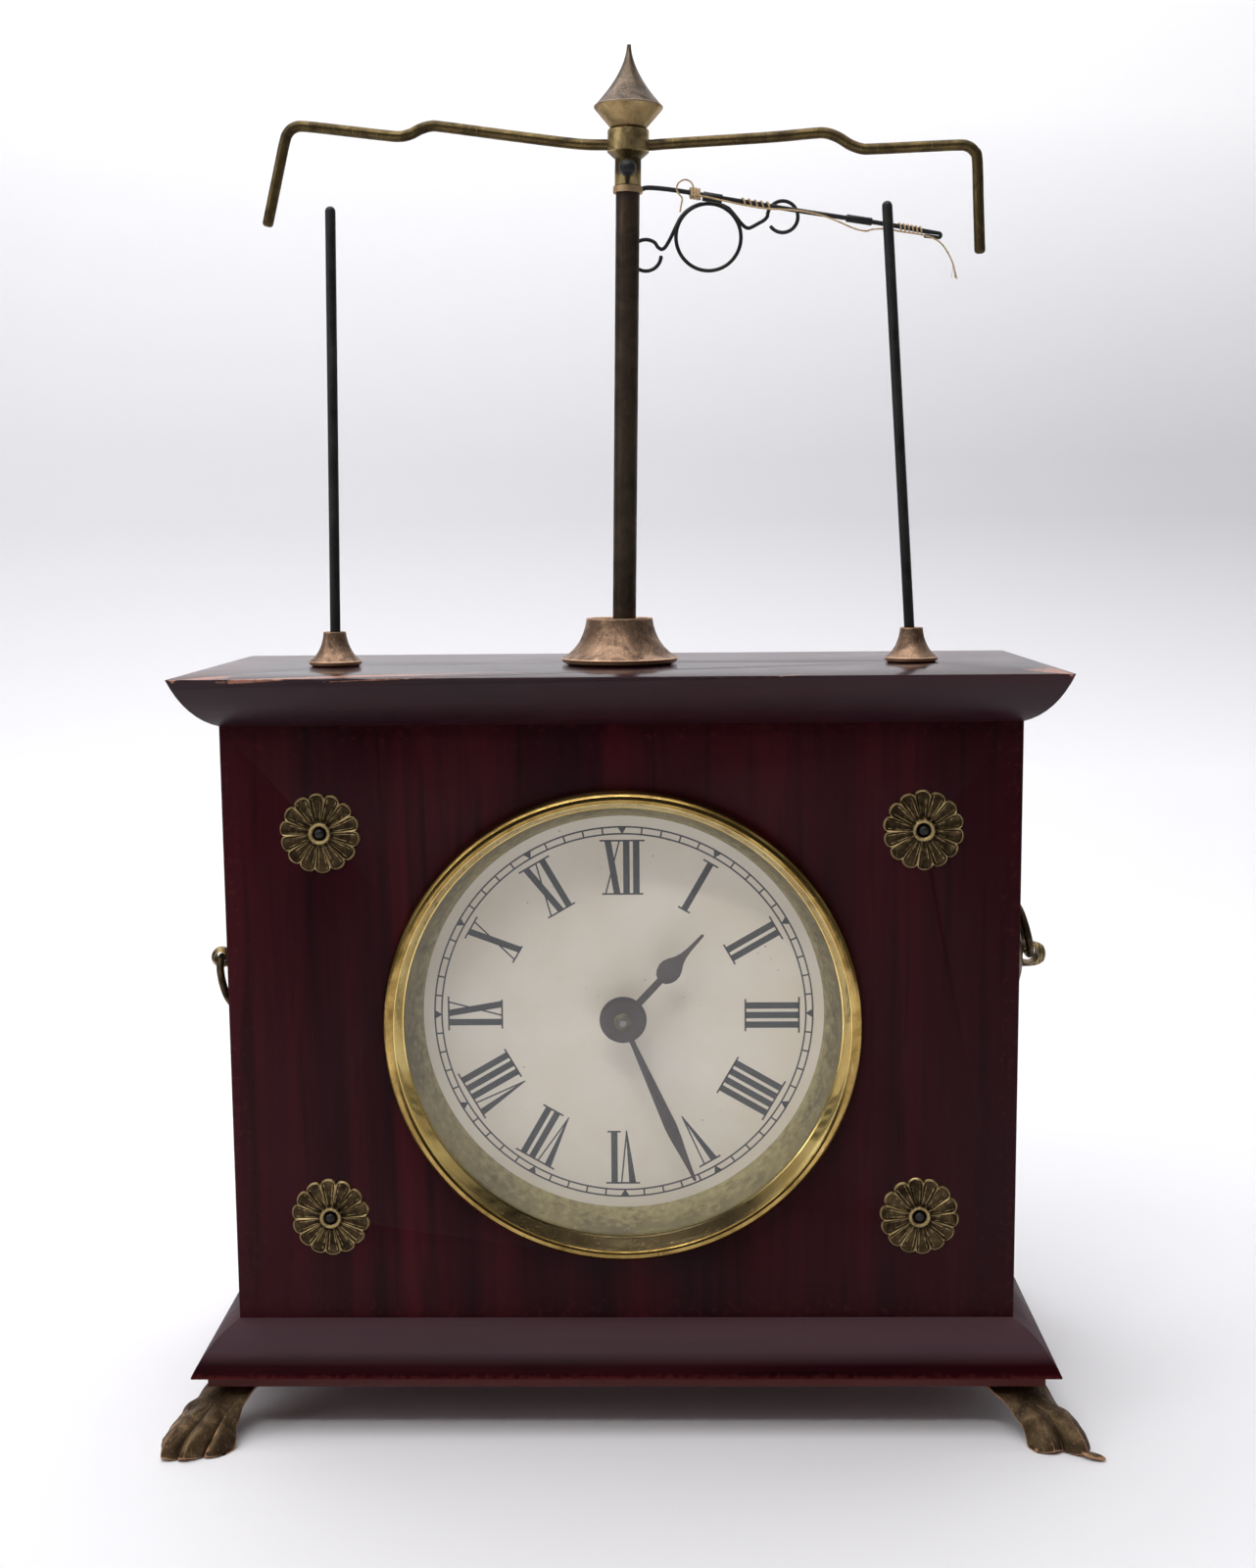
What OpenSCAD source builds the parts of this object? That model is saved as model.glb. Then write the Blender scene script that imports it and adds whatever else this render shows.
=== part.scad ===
// Flying pendulum clock: wooden case on paw feet, with a mast, a turning arm
// and two pins on its cap. Millimetres. The origin is under the middle of the case,
// +X to the clock's right as seen from the front, +Y to the back, +Z up.

/* [Case] */
// Width of the wooden body
body_w = 161; // [150:1:180]
// Depth of the wooden body
body_d = 63.4; // [62:0.2:72]
// Height of the wooden body between base and cap
body_h = 124; // [118:1:140]
// Thickness of the front panel
front_t = 9; // [8:0.5:10]
// Thickness of the side panels
side_t = 8; // [6:0.5:10]
// Thickness of the back door
door_t = 4; // [3:0.5:5]
// Gap round the back door
door_gap = 0.4; // [0.2:0.1:0.8]
// Height of the moulded cap
cap_h = 10; // [8:0.5:14]
// How far the cap stands out past the body
cap_out = 8.4; // [6:0.2:10]
// Height of the moulded base
base_h = 9.7; // [8:0.1:14]
// How far the base stands out past the body
base_out = 8.8; // [7:0.2:10]
// Thickness of the board under the base
board_t = 2.8; // [1:0.1:4]
// How far the board's edge lies inside the base's edge
board_in = 3; // [2:0.5:6]

/* [Feet] */
// Height of the feet below the board
foot_h = 10; // [9:0.5:14]
// Length of a paw outward from its ankle
paw_l = 19; // [15:0.5:21]
// Direction of the paws, in degrees from the case's width towards its depth
foot_turn = 62; // [40:1:70]
// Width of the ankle strap
ankle_w = 10; // [7:0.5:11]
// Thickness of the stamped brass
foot_t = 0.9; // [0.7:0.1:1.2]

/* [Dial and hands] */
// Radius of the hole in the front panel
hole_r = 46.2; // [45:0.1:48]
// How far the bezel reaches past the hole
bezel_out = 2.3; // [2.2:0.1:5]
// How far the bezel stands out from the panel
bezel_h = 3.8; // [3:0.1:5]
// Inner radius of the bezel's lip
lip_r = 44.9; // [43.5:0.1:45]
// How deep the lip lies behind the panel's face
lip_set_back = 1.2; // [0.6:0.1:2]
// Thickness of the glass
glass_t = 1; // [0.8:0.1:1.4]
// Radius of the opening over the dial at the foot of the inner ring
dial_view_r = 41.9; // [40:0.1:42.5]
// How deep the dial lies behind the panel's back
dial_set_back = 2; // [1:0.1:3]
// Thickness of the dial
dial_t = 0.8; // [0.5:0.1:1]
// Length of the minute hand from its centre
minute_l = 35; // [30:0.5:38]
// Length of the hour hand from its centre
hour_l = 23.5; // [20:0.5:28]
// Where the minute hand points, in degrees past twelve
minute_at = 156.5; // [0:0.5:359.5]
// Where the hour hand points, in degrees past twelve
hour_at = 43; // [0:0.5:359.5]

/* [Rosettes and side rings] */
// Number of petals on a rosette
petals = 14; // [10:1:18]
// Outer radius of a rosette
rosette_r = 8.2; // [6:0.1:9]
// Distance of the rosettes from the middle of the panel, sideways
rosette_x = 60.8; // [56:0.2:66]
// Distance of the rosettes from the middle of the panel, up and down
rosette_z = 40.2; // [34:0.2:46]
// How far the side studs lie in front of the middle of the side
stud_forward = 14; // [8:0.5:17]
// Height of the side studs above the body's foot
stud_up = 73; // [50:0.5:90]
// Radius of the ball on a side stud
stud_r = 2.25; // [2.1:0.05:2.6]
// Middle radius of a side ring
ring_r = 5.2; // [4.6:0.1:6.5]
// Radius of the ring's wire
ring_wire = 0.8; // [0.6:0.05:0.85]
// How far the rings lean to the wood, in degrees
ring_lean = 14; // [8:1:16]

/* [Mast] */
// Where the mast stands, from the middle of the cap
mast_x = -0.6; // [-3:0.1:3]
// How far the mast leans to the right, in degrees
mast_lean = 0.95; // [0:0.05:1.5]
// Outer radius of the turning tube
tube_r = 2.5; // [2.3:0.05:2.6]
// Radius of the steel spindle inside the tube
spindle_r = 1.5; // [1.3:0.05:1.6]
// Height of the tube's top above the cap
tube_up = 99.7; // [85:0.1:115]
// Height of the mast foot
mast_foot_h = 9.9; // [7:0.1:12]
// Radius of the mast foot's rim
mast_foot_r = 12.6; // [11:0.1:15]
// Radius of the hub that holds the guard rod
hub_r = 4.35; // [4:0.05:5.5]
// Length of the hub's sleeve
sleeve_l = 5.4; // [4.8:0.1:8]
// Radius of the ball on the thumb screw
thumb_r = 1.8; // [1.5:0.1:2.4]
// Radius of the finial's rim
finial_r = 7.2; // [6:0.1:9]
// Height of the finial's spire
spire_h = 12.3; // [9:0.1:16]
// Radius of the guard rod
guard_r = 1.15; // [0.9:0.05:1.2]

/* [Arm and thread] */
// How far the arm is turned back from the clock's right, in degrees
arm_turn = 3.5; // [2:0.5:20]
// Radius of the arm
arm_r = 0.5; // [0.4:0.05:0.6]
// Radius of the scroll wire
scroll_r = 0.4; // [0.3:0.05:0.5]
// Middle radius of the scroll's large ring
big_ring_r = 6.9; // [6.3:0.1:7]
// Middle radius of the scroll's small rings
small_ring_r = 3.25; // [2.8:0.05:3.6]
// Radius of the thread
thread_r = 0.18; // [0.16:0.01:0.2]
// Turns of thread wound on the middle of the arm
mid_turns = 5; // [3:1:6]
// Turns of thread wound on the arm near its tip
tip_turns = 6; // [4:1:7]

/* [Pins] */
// Distance of the pins from the middle of the cap
pin_x = 62.1; // [54:0.1:64]
// Height of the pins above the cap
pin_h = 95.4; // [80:0.1:100]
// Radius of the pins
pin_r = 1.1; // [0.8:0.05:1.3]
// How far the left pin leans to the right, in degrees
left_lean = 0.9; // [0:0.1:2]
// How far the right pin leans to the left, in degrees
right_lean = 3.6; // [0:0.1:4]
// Radius of a pin cone's rim
cone_r = 5.7; // [4.5:0.1:7]
// Height of a pin cone
cone_h = 7.4; // [5:0.1:10]

/* [Movement] */
// Distance between the movement plates
plate_gap = 28; // [27:0.5:30]
// Thickness of the movement plates
plate_t = 1.2; // [1:0.1:1.5]
// Width of the movement plates
plate_w = 58; // [54:1:64]
// Height of the movement plates
plate_h = 80; // [76:1:84]
// Distance between the train's arbors
arbor_gap = 18; // [17.6:0.1:18.4]
// Teeth of the great wheel and of the centre wheel
wheel_teeth = 48; // [46:2:50]
// Leaves of each pinion
leaves = 12; // [12]
// Teeth of the contrate wheel
contrate_teeth = 36; // [34:2:38]
// Distance of the minute wheel's post from the centre arbor
post_gap = 10; // [9.8:0.1:10.4]
// Teeth of the ratchet
ratchet_teeth = 16; // [16]

/* [Hidden] */
$fn = 48;

// Clearances
run_fit = 0.03;
snug = 0.02;
part_gap = 0.3;

// Levels of the case
base_z = foot_h + board_t;
body_z = base_z + base_h;
cap_z = body_z + body_h;
top_z = cap_z + cap_h;
front_y = -body_d / 2;
dial_z = body_z + body_h / 2;
stud_z = body_z + stud_up;

// Bends of the mouldings: control point of the curve, as shares of reach and height
cap_bend = [0.36, 0.8];
base_bend = [0.38, 0.72];
bend_steps = 8;

// Depths behind the front panel's face, taken along the dial's axis (outward is plus)
dial_face = -front_t - dial_set_back;
dial_back = dial_face - dial_t;
plate_face = -front_t - 6.4;
plate_back = plate_face - plate_t;
rear_face = plate_back - plate_gap;
rear_back = rear_face - plate_t;
mast_depth = -body_d / 2;

// Hands and their pipes
minute_level = -4.6;
hour_level = -6;
hand_t = 0.4;
boss_r = 4.9;
hour_pipe_r = 2.3;
minute_pipe_r = 1.5;
arbor_r = 1;
tip_r = 0.65;
nut_r = 1.8;
nut_t = 0.8;

// Train: a module is the pitch radius of a gear over half its teeth
pressure = 25;
backlash = 0.14;
train_module = 2 * arbor_gap / (wheel_teeth + leaves);
contrate_z = dial_z + arbor_gap;
great_z = dial_z - arbor_gap;
contrate_pos = [mast_x, contrate_z];
contrate_gap = norm([mast_x, arbor_gap]);
upper_module = 2 * contrate_gap / (wheel_teeth + leaves);
upper_way = atan2(arbor_gap, mast_x);
tube_pinion_r = tube_r + 0.8;
tube_module = 2 * tube_pinion_r / leaves;
contrate_r = tube_module * contrate_teeth / 2;
crown_w = 1.6;
contrate_arbor_r = 0.8;
crown_tip = mast_depth + tube_pinion_r - 0.45;
crown_root = mast_depth + tube_pinion_r + 0.7;
crown_disc_t = 1.2;
winding_r = 1.25;
great_level = rear_face + 8;
great_t = 1.6;
barrel_r = 12.5;
barrel_h = 7;
barrel_wall = 0.8;
spring_turns = 8;
spring_t = 0.35;
upper_level = -22.5;
upper_t = 1.2;

// Motion work: the minute wheel turns three times slower, the hour wheel four times more
post_way = -60;
minute_teeth = 3 * leaves;
hour_teeth = 4 * leaves;
cannon_module = 2 * post_gap / (minute_teeth + leaves);
hour_module = 2 * post_gap / (hour_teeth + leaves);
post_pos = post_gap * [cos(post_way), sin(post_way)];
post_r = 0.7;
motion_wheel_t = 0.8;
cannon_level = plate_face + 0.3;
hour_wheel_level = cannon_level + 2.2;

// Mast: heights along its own leaning axis, from the contrate wheel's arbor
cap_up = top_z - contrate_z;
collar_r = tube_r + 0.6;
collar_h = 1.3;
tube_top = cap_up + tube_up;
tube_foot = contrate_r - 1.7;
sleeve_foot = tube_top + 0.2;
hub_foot = sleeve_foot + sleeve_l + 1.4;
hub_h = 4.8;
hub_top = hub_foot + hub_h;
sleeve_r = 2.75;
rod_up = hub_foot + 1.5;
screw_up = sleeve_foot + sleeve_l / 2 + 0.1;
screw_r = 0.7;
bore_r = spindle_r + 0.1;
mast_hole_r = tube_r + 1.7;
cock_low = 2.4;
cock_top = 5.4;
cone_neck = 2.4;

// Arm, in its own frame: along the arm, to its back, up from the contrate wheel's arbor
arm_off = 2;
arm_top = tube_top - 0.3;
arm_start = sqrt(collar_r * collar_r - (arm_off - arm_r) * (arm_off - arm_r)) + 0.02;
arm_points = [[arm_start, 0, arm_top], [4.4, 0, arm_top + 0.6], [10.5, 0, arm_top + 0.12],
  [20, 0, arm_top - 1.3], [37, 0, arm_top - 3.7], [53, 0, arm_top - 5.8], [64, 0, arm_top - 7.5]];
eye_r = 0.45;
eye_wire = 0.4;
eye_along = [66.2, 63.1];
eye_centre = arm_top - 7.75 - eye_r;
sleeve_along = [46.4, 51.9];
lump_along = [15.9, 20];
lump_r = arm_r + 0.5;
lump_drop = 0.25;
scroll_off = arm_r + scroll_r + 0.02;
strand_off = scroll_off + 2 * scroll_r + 0.02;
big_ring = [17.3, arm_top - 9.2];
small_left = [4.1, arm_top - 13];
small_right = [33.1, arm_top - 4.6];
strand_r = big_ring_r + 0.25;
mid_wind = [24, 30.5];
tip_wind = [57.5, 62.8];
wind_r = arm_r + thread_r + 0.03;
knot_ends = [13.2, 15.4];
knot_turns = 4;
knot_wrap_r = wind_r + 0.25;

// Waves of the scroll's two strands, from the arm's top: along the arm and up
left_wave = [[10, -7.9], [9.4, -9.2], [8.75, -10.4], [8.1, -11.35], [7.4, -11.7], [6.65, -11.3]];
right_wave = [[18.6, -1.9], [21.2, -2.85], [22.25, -3.75], [23.3, -4.95], [24, -5.8],
  [24.6, -6.4], [25.25, -6.9], [26, -7.05], [26.9, -6.65], [28.05, -6], [28.8, -5.6], [29.4, -5.15]];

// Route of the thread in the arm's frame, from its tail over the knot to the torn end
thread_route = [[11.1, -0.9, arm_top - 4.4], [11.3, -0.9, arm_top - 3], [11.5, -0.9, arm_top - 1.6],
  [10.7, -0.9, arm_top - 0.6], [10.3, -0.9, arm_top + 0.5], [10.8, -0.9, arm_top + 1.6],
  [12, -0.9, arm_top + 2.2], [13.2, -0.9, arm_top + 1.8], [13.8, -0.9, arm_top + 0.8],
  [13.8, -0.9, arm_top - 0.2], [14.6, -1.2, arm_top - 0.9], [17, -1.5, arm_top - 1.4],
  [20, -1.4, arm_top - 2], [24, -1, arm_top - 2.7], [28, -0.9, arm_top - 3.3],
  [31, -0.9, arm_top - 3.5], [36, -0.9, arm_top - 3.7], [41, -0.9, arm_top - 4.6],
  [45, -0.9, arm_top - 6], [48, -0.9, arm_top - 7.2], [50.5, -0.9, arm_top - 7.7],
  [52, -0.9, arm_top - 7.3], [55, -0.9, arm_top - 7.2], [58, -0.9, arm_top - 7.7],
  [62, -0.9, arm_top - 8.2], [65, -1, arm_top - 9], [66.8, -1, arm_top - 10.2],
  [68.2, -0.8, arm_top - 12], [69.4, -0.5, arm_top - 14.2], [70.2, -0.2, arm_top - 17]];

// Guard rod in the mast's frame: along X, up from the rod's hole in the hub
guard_left = [[-5, 0], [-11, 0.2], [-25, 1.8], [-38.5, 3.45], [-41.2, 3.6], [-43.4, 3],
  [-45.4, 2], [-47.6, 1.5], [-50.4, 1.65], [-59, 2.55], [-67.4, 3.4], [-69.7, 3.2],
  [-71.1, 2.1], [-71.9, 0.1], [-73.3, -6], [-75.78, -16.98]];
guard_right = [[5, 0], [10, 0.4], [29.4, 1.7], [38, 2.5], [41, 2.6], [43.6, 1.8], [46.2, 0.3],
  [48.6, -0.5], [51, -0.55], [60, -0.1], [68.4, 0.3], [70.6, 0.1], [72, -0.9], [72.7, -2.6],
  [73.2, -11], [73.85, -21.6]];

// Curve through two ends with one control point
function bend(a, c, b, t) = (1 - t) * (1 - t) * a + 2 * t * (1 - t) * c + t * t * b;

// Side of a moulding, from its outer edge to the body, as [reach, height]
function moulding(reach, height, c) =
  [for (i = [0 : bend_steps]) let (p = bend([0, 0], c, [1, 1], i / bend_steps))
    [reach * (1 - p[0]), height * p[1]]];

// Outline of a gear with involute teeth
function involute(a) = tan(a) * 180 / PI - a;
function tooth_half(r, pitch_r, teeth) = 90 / teeth - backlash / 2 / pitch_r * 180 / PI
  + involute(pressure) - involute(acos(min(1, pitch_r * cos(pressure) / r)));
function flank(root, foot, tip) = root < foot - 0.01
  ? [root, foot, (foot + tip) / 2, tip] : [root, (root + tip) / 2, tip];
function gear_points(teeth, m) =
  let (pitch_r = m * teeth / 2, low = pitch_r - 1.2 * m, high = pitch_r + 0.9 * m,
    radii = flank(low, pitch_r * cos(pressure), high), last = len(radii) - 1)
  [for (k = [0 : teeth - 1]) for (side = [-1, 1]) for (i = [0 : last])
    let (r = radii[side < 0 ? i : last - i], a = 360 * k / teeth + side * tooth_half(r, pitch_r, teeth))
    r * [cos(a), sin(a)]];

// Rings of a tube swept along a route, and the faces between them
function way(route, i) = let (a = route[max(0, i - 1)], b = route[min(len(route) - 1, i + 1)])
  (b - a) / norm(b - a);
function unit(v) = v / norm(v);
function ring_at(route, i, r, sides) =
  let (w = way(route, i), u = unit(cross(w, abs(w[1]) > 0.9 ? [0, 0, 1] : [0, 1, 0])),
    v = cross(w, u), wire = is_list(r) ? r[i] : r)
  [for (k = [0 : sides - 1]) route[i] + wire * (u * cos(360 * k / sides) + v * sin(360 * k / sides))];
function tube_faces(rings, sides) = concat(
  [[for (k = [0 : sides - 1]) k]],
  [for (i = [0 : rings - 2]) for (k = [0 : sides - 1]) let (n = (k + 1) % sides, a = i * sides)
    each [[a + k, a + sides + k, a + n], [a + n, a + sides + k, a + sides + n]]],
  [[for (k = [sides - 1 : -1 : 0]) (rings - 1) * sides + k]]);

// A route with points added along a smooth curve between its own points
function smooth_at(p, i, t) =
  let (a = p[max(0, i - 1)], b = p[i], c = p[i + 1], d = p[min(len(p) - 1, i + 2)])
  0.5 * (2 * b + (c - a) * t + (2 * a - 5 * b + 4 * c - d) * t * t + (3 * b - a - 3 * c + d) * t * t * t);
function smooth(p, parts) = concat([for (i = [0 : len(p) - 2]) for (k = [0 : parts - 1])
  smooth_at(p, i, k / parts)], [p[len(p) - 1]]);

// Height of the arm at a distance along it
function arm_height(x) = lookup(x, [for (p = arm_points) [p[0], p[2]]]);

module swept(route, r, sides) {
  polyhedron(points = [for (i = [0 : len(route) - 1]) each ring_at(route, i, r, sides)],
    faces = tube_faces(len(route), sides));
}

module bar(a, b, r) {
  v = b - a;
  translate(a)
    rotate([0, acos(v[2] / norm(v)), atan2(v[1], v[0])])
      cylinder(r = r, h = norm(v));
}

module on_dial() {
  translate([0, front_y, dial_z])
    rotate([90, 0, 0])
      children();
}

module on_mast() {
  translate([mast_x, 0, contrate_z])
    rotate([0, mast_lean, 0])
      children();
}

module on_arm() {
  on_mast()
    rotate([0, 0, arm_turn])
      translate([0, arm_off, 0])
        children();
}

// A board with the same moulded edge on all four sides
module moulded_board(reach, height, c, up) {
  side = moulding(reach, height, c);
  turned = [for (p = side) up ? p : [p[0], height - p[1]]];
  intersection() {
    rotate([90, 0, 0])
      linear_extrude(body_d + 2 * reach, center = true)
        moulded_outline(turned, body_w / 2);
    rotate([90, 0, 90])
      linear_extrude(body_w + 2 * reach, center = true)
        moulded_outline(turned, body_d / 2);
  }
}

module moulded_outline(side, half) {
  last = len(side) - 1;
  polygon(concat([for (p = side) [half + p[0], p[1]]],
    [for (i = [last : -1 : 0]) [-half - side[i][0], side[i][1]]]));
}

module gear(teeth, m, h, turn) {
  linear_extrude(h)
    rotate(turn)
      polygon(gear_points(teeth, m));
}

module disc(r, low, high) {
  translate([0, 0, low])
    cylinder(r = r, h = high - low);
}

module base() {
  color("#3a1018")
    translate([0, 0, base_z])
      moulded_board(base_out, base_h, base_bend, true);
}

module bottom_board() {
  w = body_w + 2 * (base_out - board_in);
  d = body_d + 2 * (base_out - board_in);
  color("#5a2018")
    translate([-w / 2, -d / 2, foot_h])
      cube([w, d, board_t]);
}

module front_panel() {
  color("#3a0f16")
    difference() {
      translate([-body_w / 2, front_y, body_z])
        cube([body_w, front_t, body_h]);
      on_dial()
        disc(hole_r, -front_t - 1, 1);
      nails(snug);
    }
}

module side_panel(side) {
  difference() {
    translate([side > 0 ? body_w / 2 - side_t : -body_w / 2, front_y + front_t, body_z])
      cube([side_t, body_d - front_t, body_h]);
    on_stud(side)
      disc(stud_shank_r + snug, -stud_shank_l - snug, 1);
  }
}

module cap() {
  color("#33131b")
    difference() {
      translate([0, 0, cap_z])
        moulded_board(cap_out, cap_h, cap_bend, false);
      translate([mast_hole_x, 0, cap_z - 1])
        cylinder(r = mast_hole_r, h = cap_h + 2);
      pin(-1, snug);
      pin(1, snug);
    }
}

// Back door, its hinges and its knob
door_in = body_w / 2 - side_t;
knuckle_r = 1.5;
hinge_y = body_d / 2 + knuckle_r;
hinge_h = 14;
knuckle_h = hinge_h / 3;
knuckle_gap = 0.2;
leaf_t = 0.8;
leaf_w = 6.5;
hinge_pin_r = 0.6;
hinge_up = [20, body_h - 20 - hinge_h];
knob_r = 4;
knob_l = 8;
knob_shank_r = 1.5;
knob_in = 9;

module back_door() {
  color("#3c1a14")
    difference() {
      translate([-door_in + door_gap, body_d / 2 - door_t, body_z + door_gap])
        cube([2 * (door_in - door_gap), door_t, body_h - 2 * door_gap]);
      door_knob_shape(snug);
    }
}

module hinge_leaf(way_x, fixed) {
  // Knuckles of the fixed leaf are the outer two, the moving leaf has the middle one
  difference() {
    union() {
      for (k = fixed ? [0, 2] : [1])
        translate([0, 0, k * knuckle_h + (k > 0 ? knuckle_gap / 2 : 0)]) {
          cylinder(r = knuckle_r, h = knuckle_h - (k == 1 ? knuckle_gap : knuckle_gap / 2));
          translate([way_x > 0 ? 0 : -knuckle_r - 1, -knuckle_r, 0])
            cube([knuckle_r + 1, leaf_t, knuckle_h - (k == 1 ? knuckle_gap : knuckle_gap / 2)]);
        }
      translate([way_x > 0 ? knuckle_r + 0.4 : -leaf_w, -knuckle_r, 0])
        cube([leaf_w - knuckle_r - 0.4, leaf_t, hinge_h]);
    }
    if (!fixed)
      translate([0, 0, -1])
        cylinder(r = hinge_pin_r + run_fit, h = hinge_h + 2);
  }
  if (fixed)
    cylinder(r = hinge_pin_r, h = hinge_h);
}

module hinges(way_x, fixed) {
  for (z = hinge_up)
    translate([-door_in, hinge_y, body_z + z])
      hinge_leaf(way_x, fixed);
}

module hinges_fixed() {
  color("#8a7440")
    hinges(-1, true);
}

module hinges_moving() {
  color("#8a7440")
    hinges(1, false);
}

module door_knob_shape(grow) {
  translate([door_in - knob_in, body_d / 2 - door_t, dial_z])
    rotate([-90, 0, 0])
      cylinder(r = knob_shank_r + grow, h = door_t + knob_l / 2);
}

module door_knob() {
  color("#a08040") {
    door_knob_shape(0);
    translate([door_in - knob_in, body_d / 2, dial_z])
      rotate([-90, 0, 0])
        rotate_extrude()
          polygon(concat([[0, 0], [knob_shank_r + 1, 0], [knob_shank_r + 1, 0.8], [knob_shank_r, 1.6]],
            [for (a = [-35 : 12.5 : 90]) [knob_r * cos(a), knob_l - 4 + knob_r * sin(a)]]));
  }
}

// A paw foot in its own frame: +X outward over its toes, Z = 0 on the floor
foot_tab_l = 12;
foot_base = [body_w / 2 + base_out - 8.9, body_d / 2 + base_out - 9.5];
toe_r = 2;
toe_pitch = 3.9;
toe_low = 1.7;
toe_back = 0.5;
knuckle_up = 4.6;
foot_screw_r = 1.2;
foot_screw_in = 7;

// Plates of the strap from the ankle to the knuckles: outward, up, wider on each side
strap = [[-foot_t, foot_h - foot_t, 0], [paw_l * 0.26, foot_h - foot_t - 1, 0.1],
  [paw_l * 0.56, knuckle_up, 1.3]];

module foot_shape() {
  difference() {
    union() {
      translate([-foot_tab_l, -ankle_w / 2, foot_h - foot_t])
        cube([foot_tab_l, ankle_w, foot_t]);
      for (i = [0 : len(strap) - 2])
        hull()
          for (p = [strap[i], strap[i + 1]])
            translate([p[0], -ankle_w / 2 - p[2], p[1]])
              cube([foot_t, ankle_w + 2 * p[2], foot_t]);
      for (k = [-1.5 : 1 : 1.5])
        hull() {
          translate([paw_l - 9, k * toe_pitch * 0.82, knuckle_up])
            sphere(r = toe_r, $fn = 14);
          translate([paw_l - toe_r - toe_back * abs(k), k * toe_pitch, toe_low])
            sphere(r = toe_r, $fn = 14);
        }
    }
    translate([-2 * paw_l, -2 * paw_l, -paw_l])
      cube([4 * paw_l, 4 * paw_l, paw_l]);
    translate([-foot_screw_in, 0, 0])
      cylinder(r = foot_screw_r + snug, h = foot_h + 1);
  }
}

module on_foot(side, end) {
  translate([side * foot_base[0], end * foot_base[1], 0])
    rotate([0, 0, atan2(end * sin(foot_turn), side * cos(foot_turn))])
      children();
}

module foot(side, end) {
  color("#5f4a2c")
    on_foot(side, end)
      foot_shape();
}

module foot_screws() {
  color("#6e5a34")
    for (side = [-1, 1])
      for (end = [-1, 1])
        on_foot(side, end)
          translate([-foot_screw_in, 0, 0]) {
            disc(foot_screw_r, foot_h - foot_t - 0.5, foot_h);
            disc(foot_screw_r + 0.8, foot_h - foot_t - 1.1, foot_h - foot_t);
          }
}

// Rosettes and their nails
rosette_t = 0.8;
nail_r = 0.5;
nail_head_r = 0.95;
nail_l = 7;

module rosette(side, up) {
  petal_r = rosette_r * sin(180 / petals) / (1 + sin(180 / petals)) * 1.08;
  color("#8a7a3c")
    on_dial()
      translate([side * rosette_x, up * rosette_z, 0])
        difference() {
          union() {
            disc(rosette_r - petal_r, 0, rosette_t);
            for (k = [0 : petals - 1])
              rotate(360 * k / petals)
                translate([rosette_r - petal_r, 0, 0])
                  cylinder(r = petal_r, h = rosette_t);
            disc(1.9, 0, rosette_t + 0.5);
          }
          disc(nail_r + snug, -1, rosette_t + 1);
          disc(nail_head_r + snug, rosette_t, rosette_t + 1);
        }
}

module nails(grow) {
  on_dial()
    for (side = [-1, 1])
      for (up = [-1, 1])
        translate([side * rosette_x, up * rosette_z, 0])
          disc(nail_r + grow, -nail_l, rosette_t);
}

module rosette_nails() {
  color("#4a3c26") {
    nails(0);
    on_dial()
      for (side = [-1, 1])
        for (up = [-1, 1])
          translate([side * rosette_x, up * rosette_z, rosette_t])
            intersection() {
              cylinder(r = nail_head_r, h = 0.6);
              translate([0, 0, -0.6])
                sphere(r = 1.15);
            }
  }
}

// Side studs with a domed backplate, and the rings through them. The left stud ends in a ball,
// the right one in a longer blunt bullet.
stud_out = 5.2;
stud_shank_r = 1.3;
stud_shank_l = 6;
stud_plate_r = 8.6;
stud_plate_h = 3.6;
ball_hole_r = ring_wire + 0.55;
bullet_hole_r = ring_wire + 0.95;
bullet_sides = [[0, 3], [2.75, 3], [2.75, 4.4], [2.7, 5.5], [2.5, 6.8], [2.2, 7.6], [1.7, 8.3],
  [0.9, 8.65], [0, 8.7]];

module on_stud(side) {
  translate([side * body_w / 2, -stud_forward, stud_z])
    rotate([0, side * 90, 0])
      children();
}

module side_stud(side) {
  color("#7d6a3c")
    on_stud(side)
      difference() {
        union() {
          disc(stud_shank_r, -stud_shank_l, stud_out);
          rotate_extrude()
            polygon(concat([[0, 0], [stud_plate_r, 0]],
              [for (a = [0 : 10 : 80]) [stud_plate_r * cos(a), 0.6 + (stud_plate_h - 0.6) * sin(a)]],
              [[0, stud_plate_h]]));
          if (side < 0)
            translate([0, 0, stud_out])
              sphere(r = stud_r);
          else
            rotate_extrude()
              polygon(bullet_sides);
        }
        translate([0, 0, stud_out])
          rotate([90, 0, 0])
            cylinder(r = side < 0 ? ball_hole_r : bullet_hole_r, h = 4 * stud_r, center = true);
      }
}

module side_ring(side, turn) {
  color("#8a7444")
    translate([side * (body_w / 2 + stud_out), -stud_forward, stud_z])
      rotate([0, turn, 0])
        translate([0, 0, -ring_r])
          rotate([0, 90, 0])
            rotate_extrude()
              translate([ring_r, 0])
                circle(r = ring_wire, $fn = 24);
}

// Bezel, glass, the ring between glass and dial, and the dial, a shallow pan behind the panel
skirt_r = hole_r - 0.1;
skirt_in = skirt_r - 0.6;
glass_back = -lip_set_back - glass_t;
skirt_low = glass_back - 0.8;
roll_r = 2.2;
roll_at = [hole_r + bezel_out - roll_r, bezel_h - roll_r];
lip_edge = 0.2;
pan_r = hole_r + 2.4;
pan_wall = 1;

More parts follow.
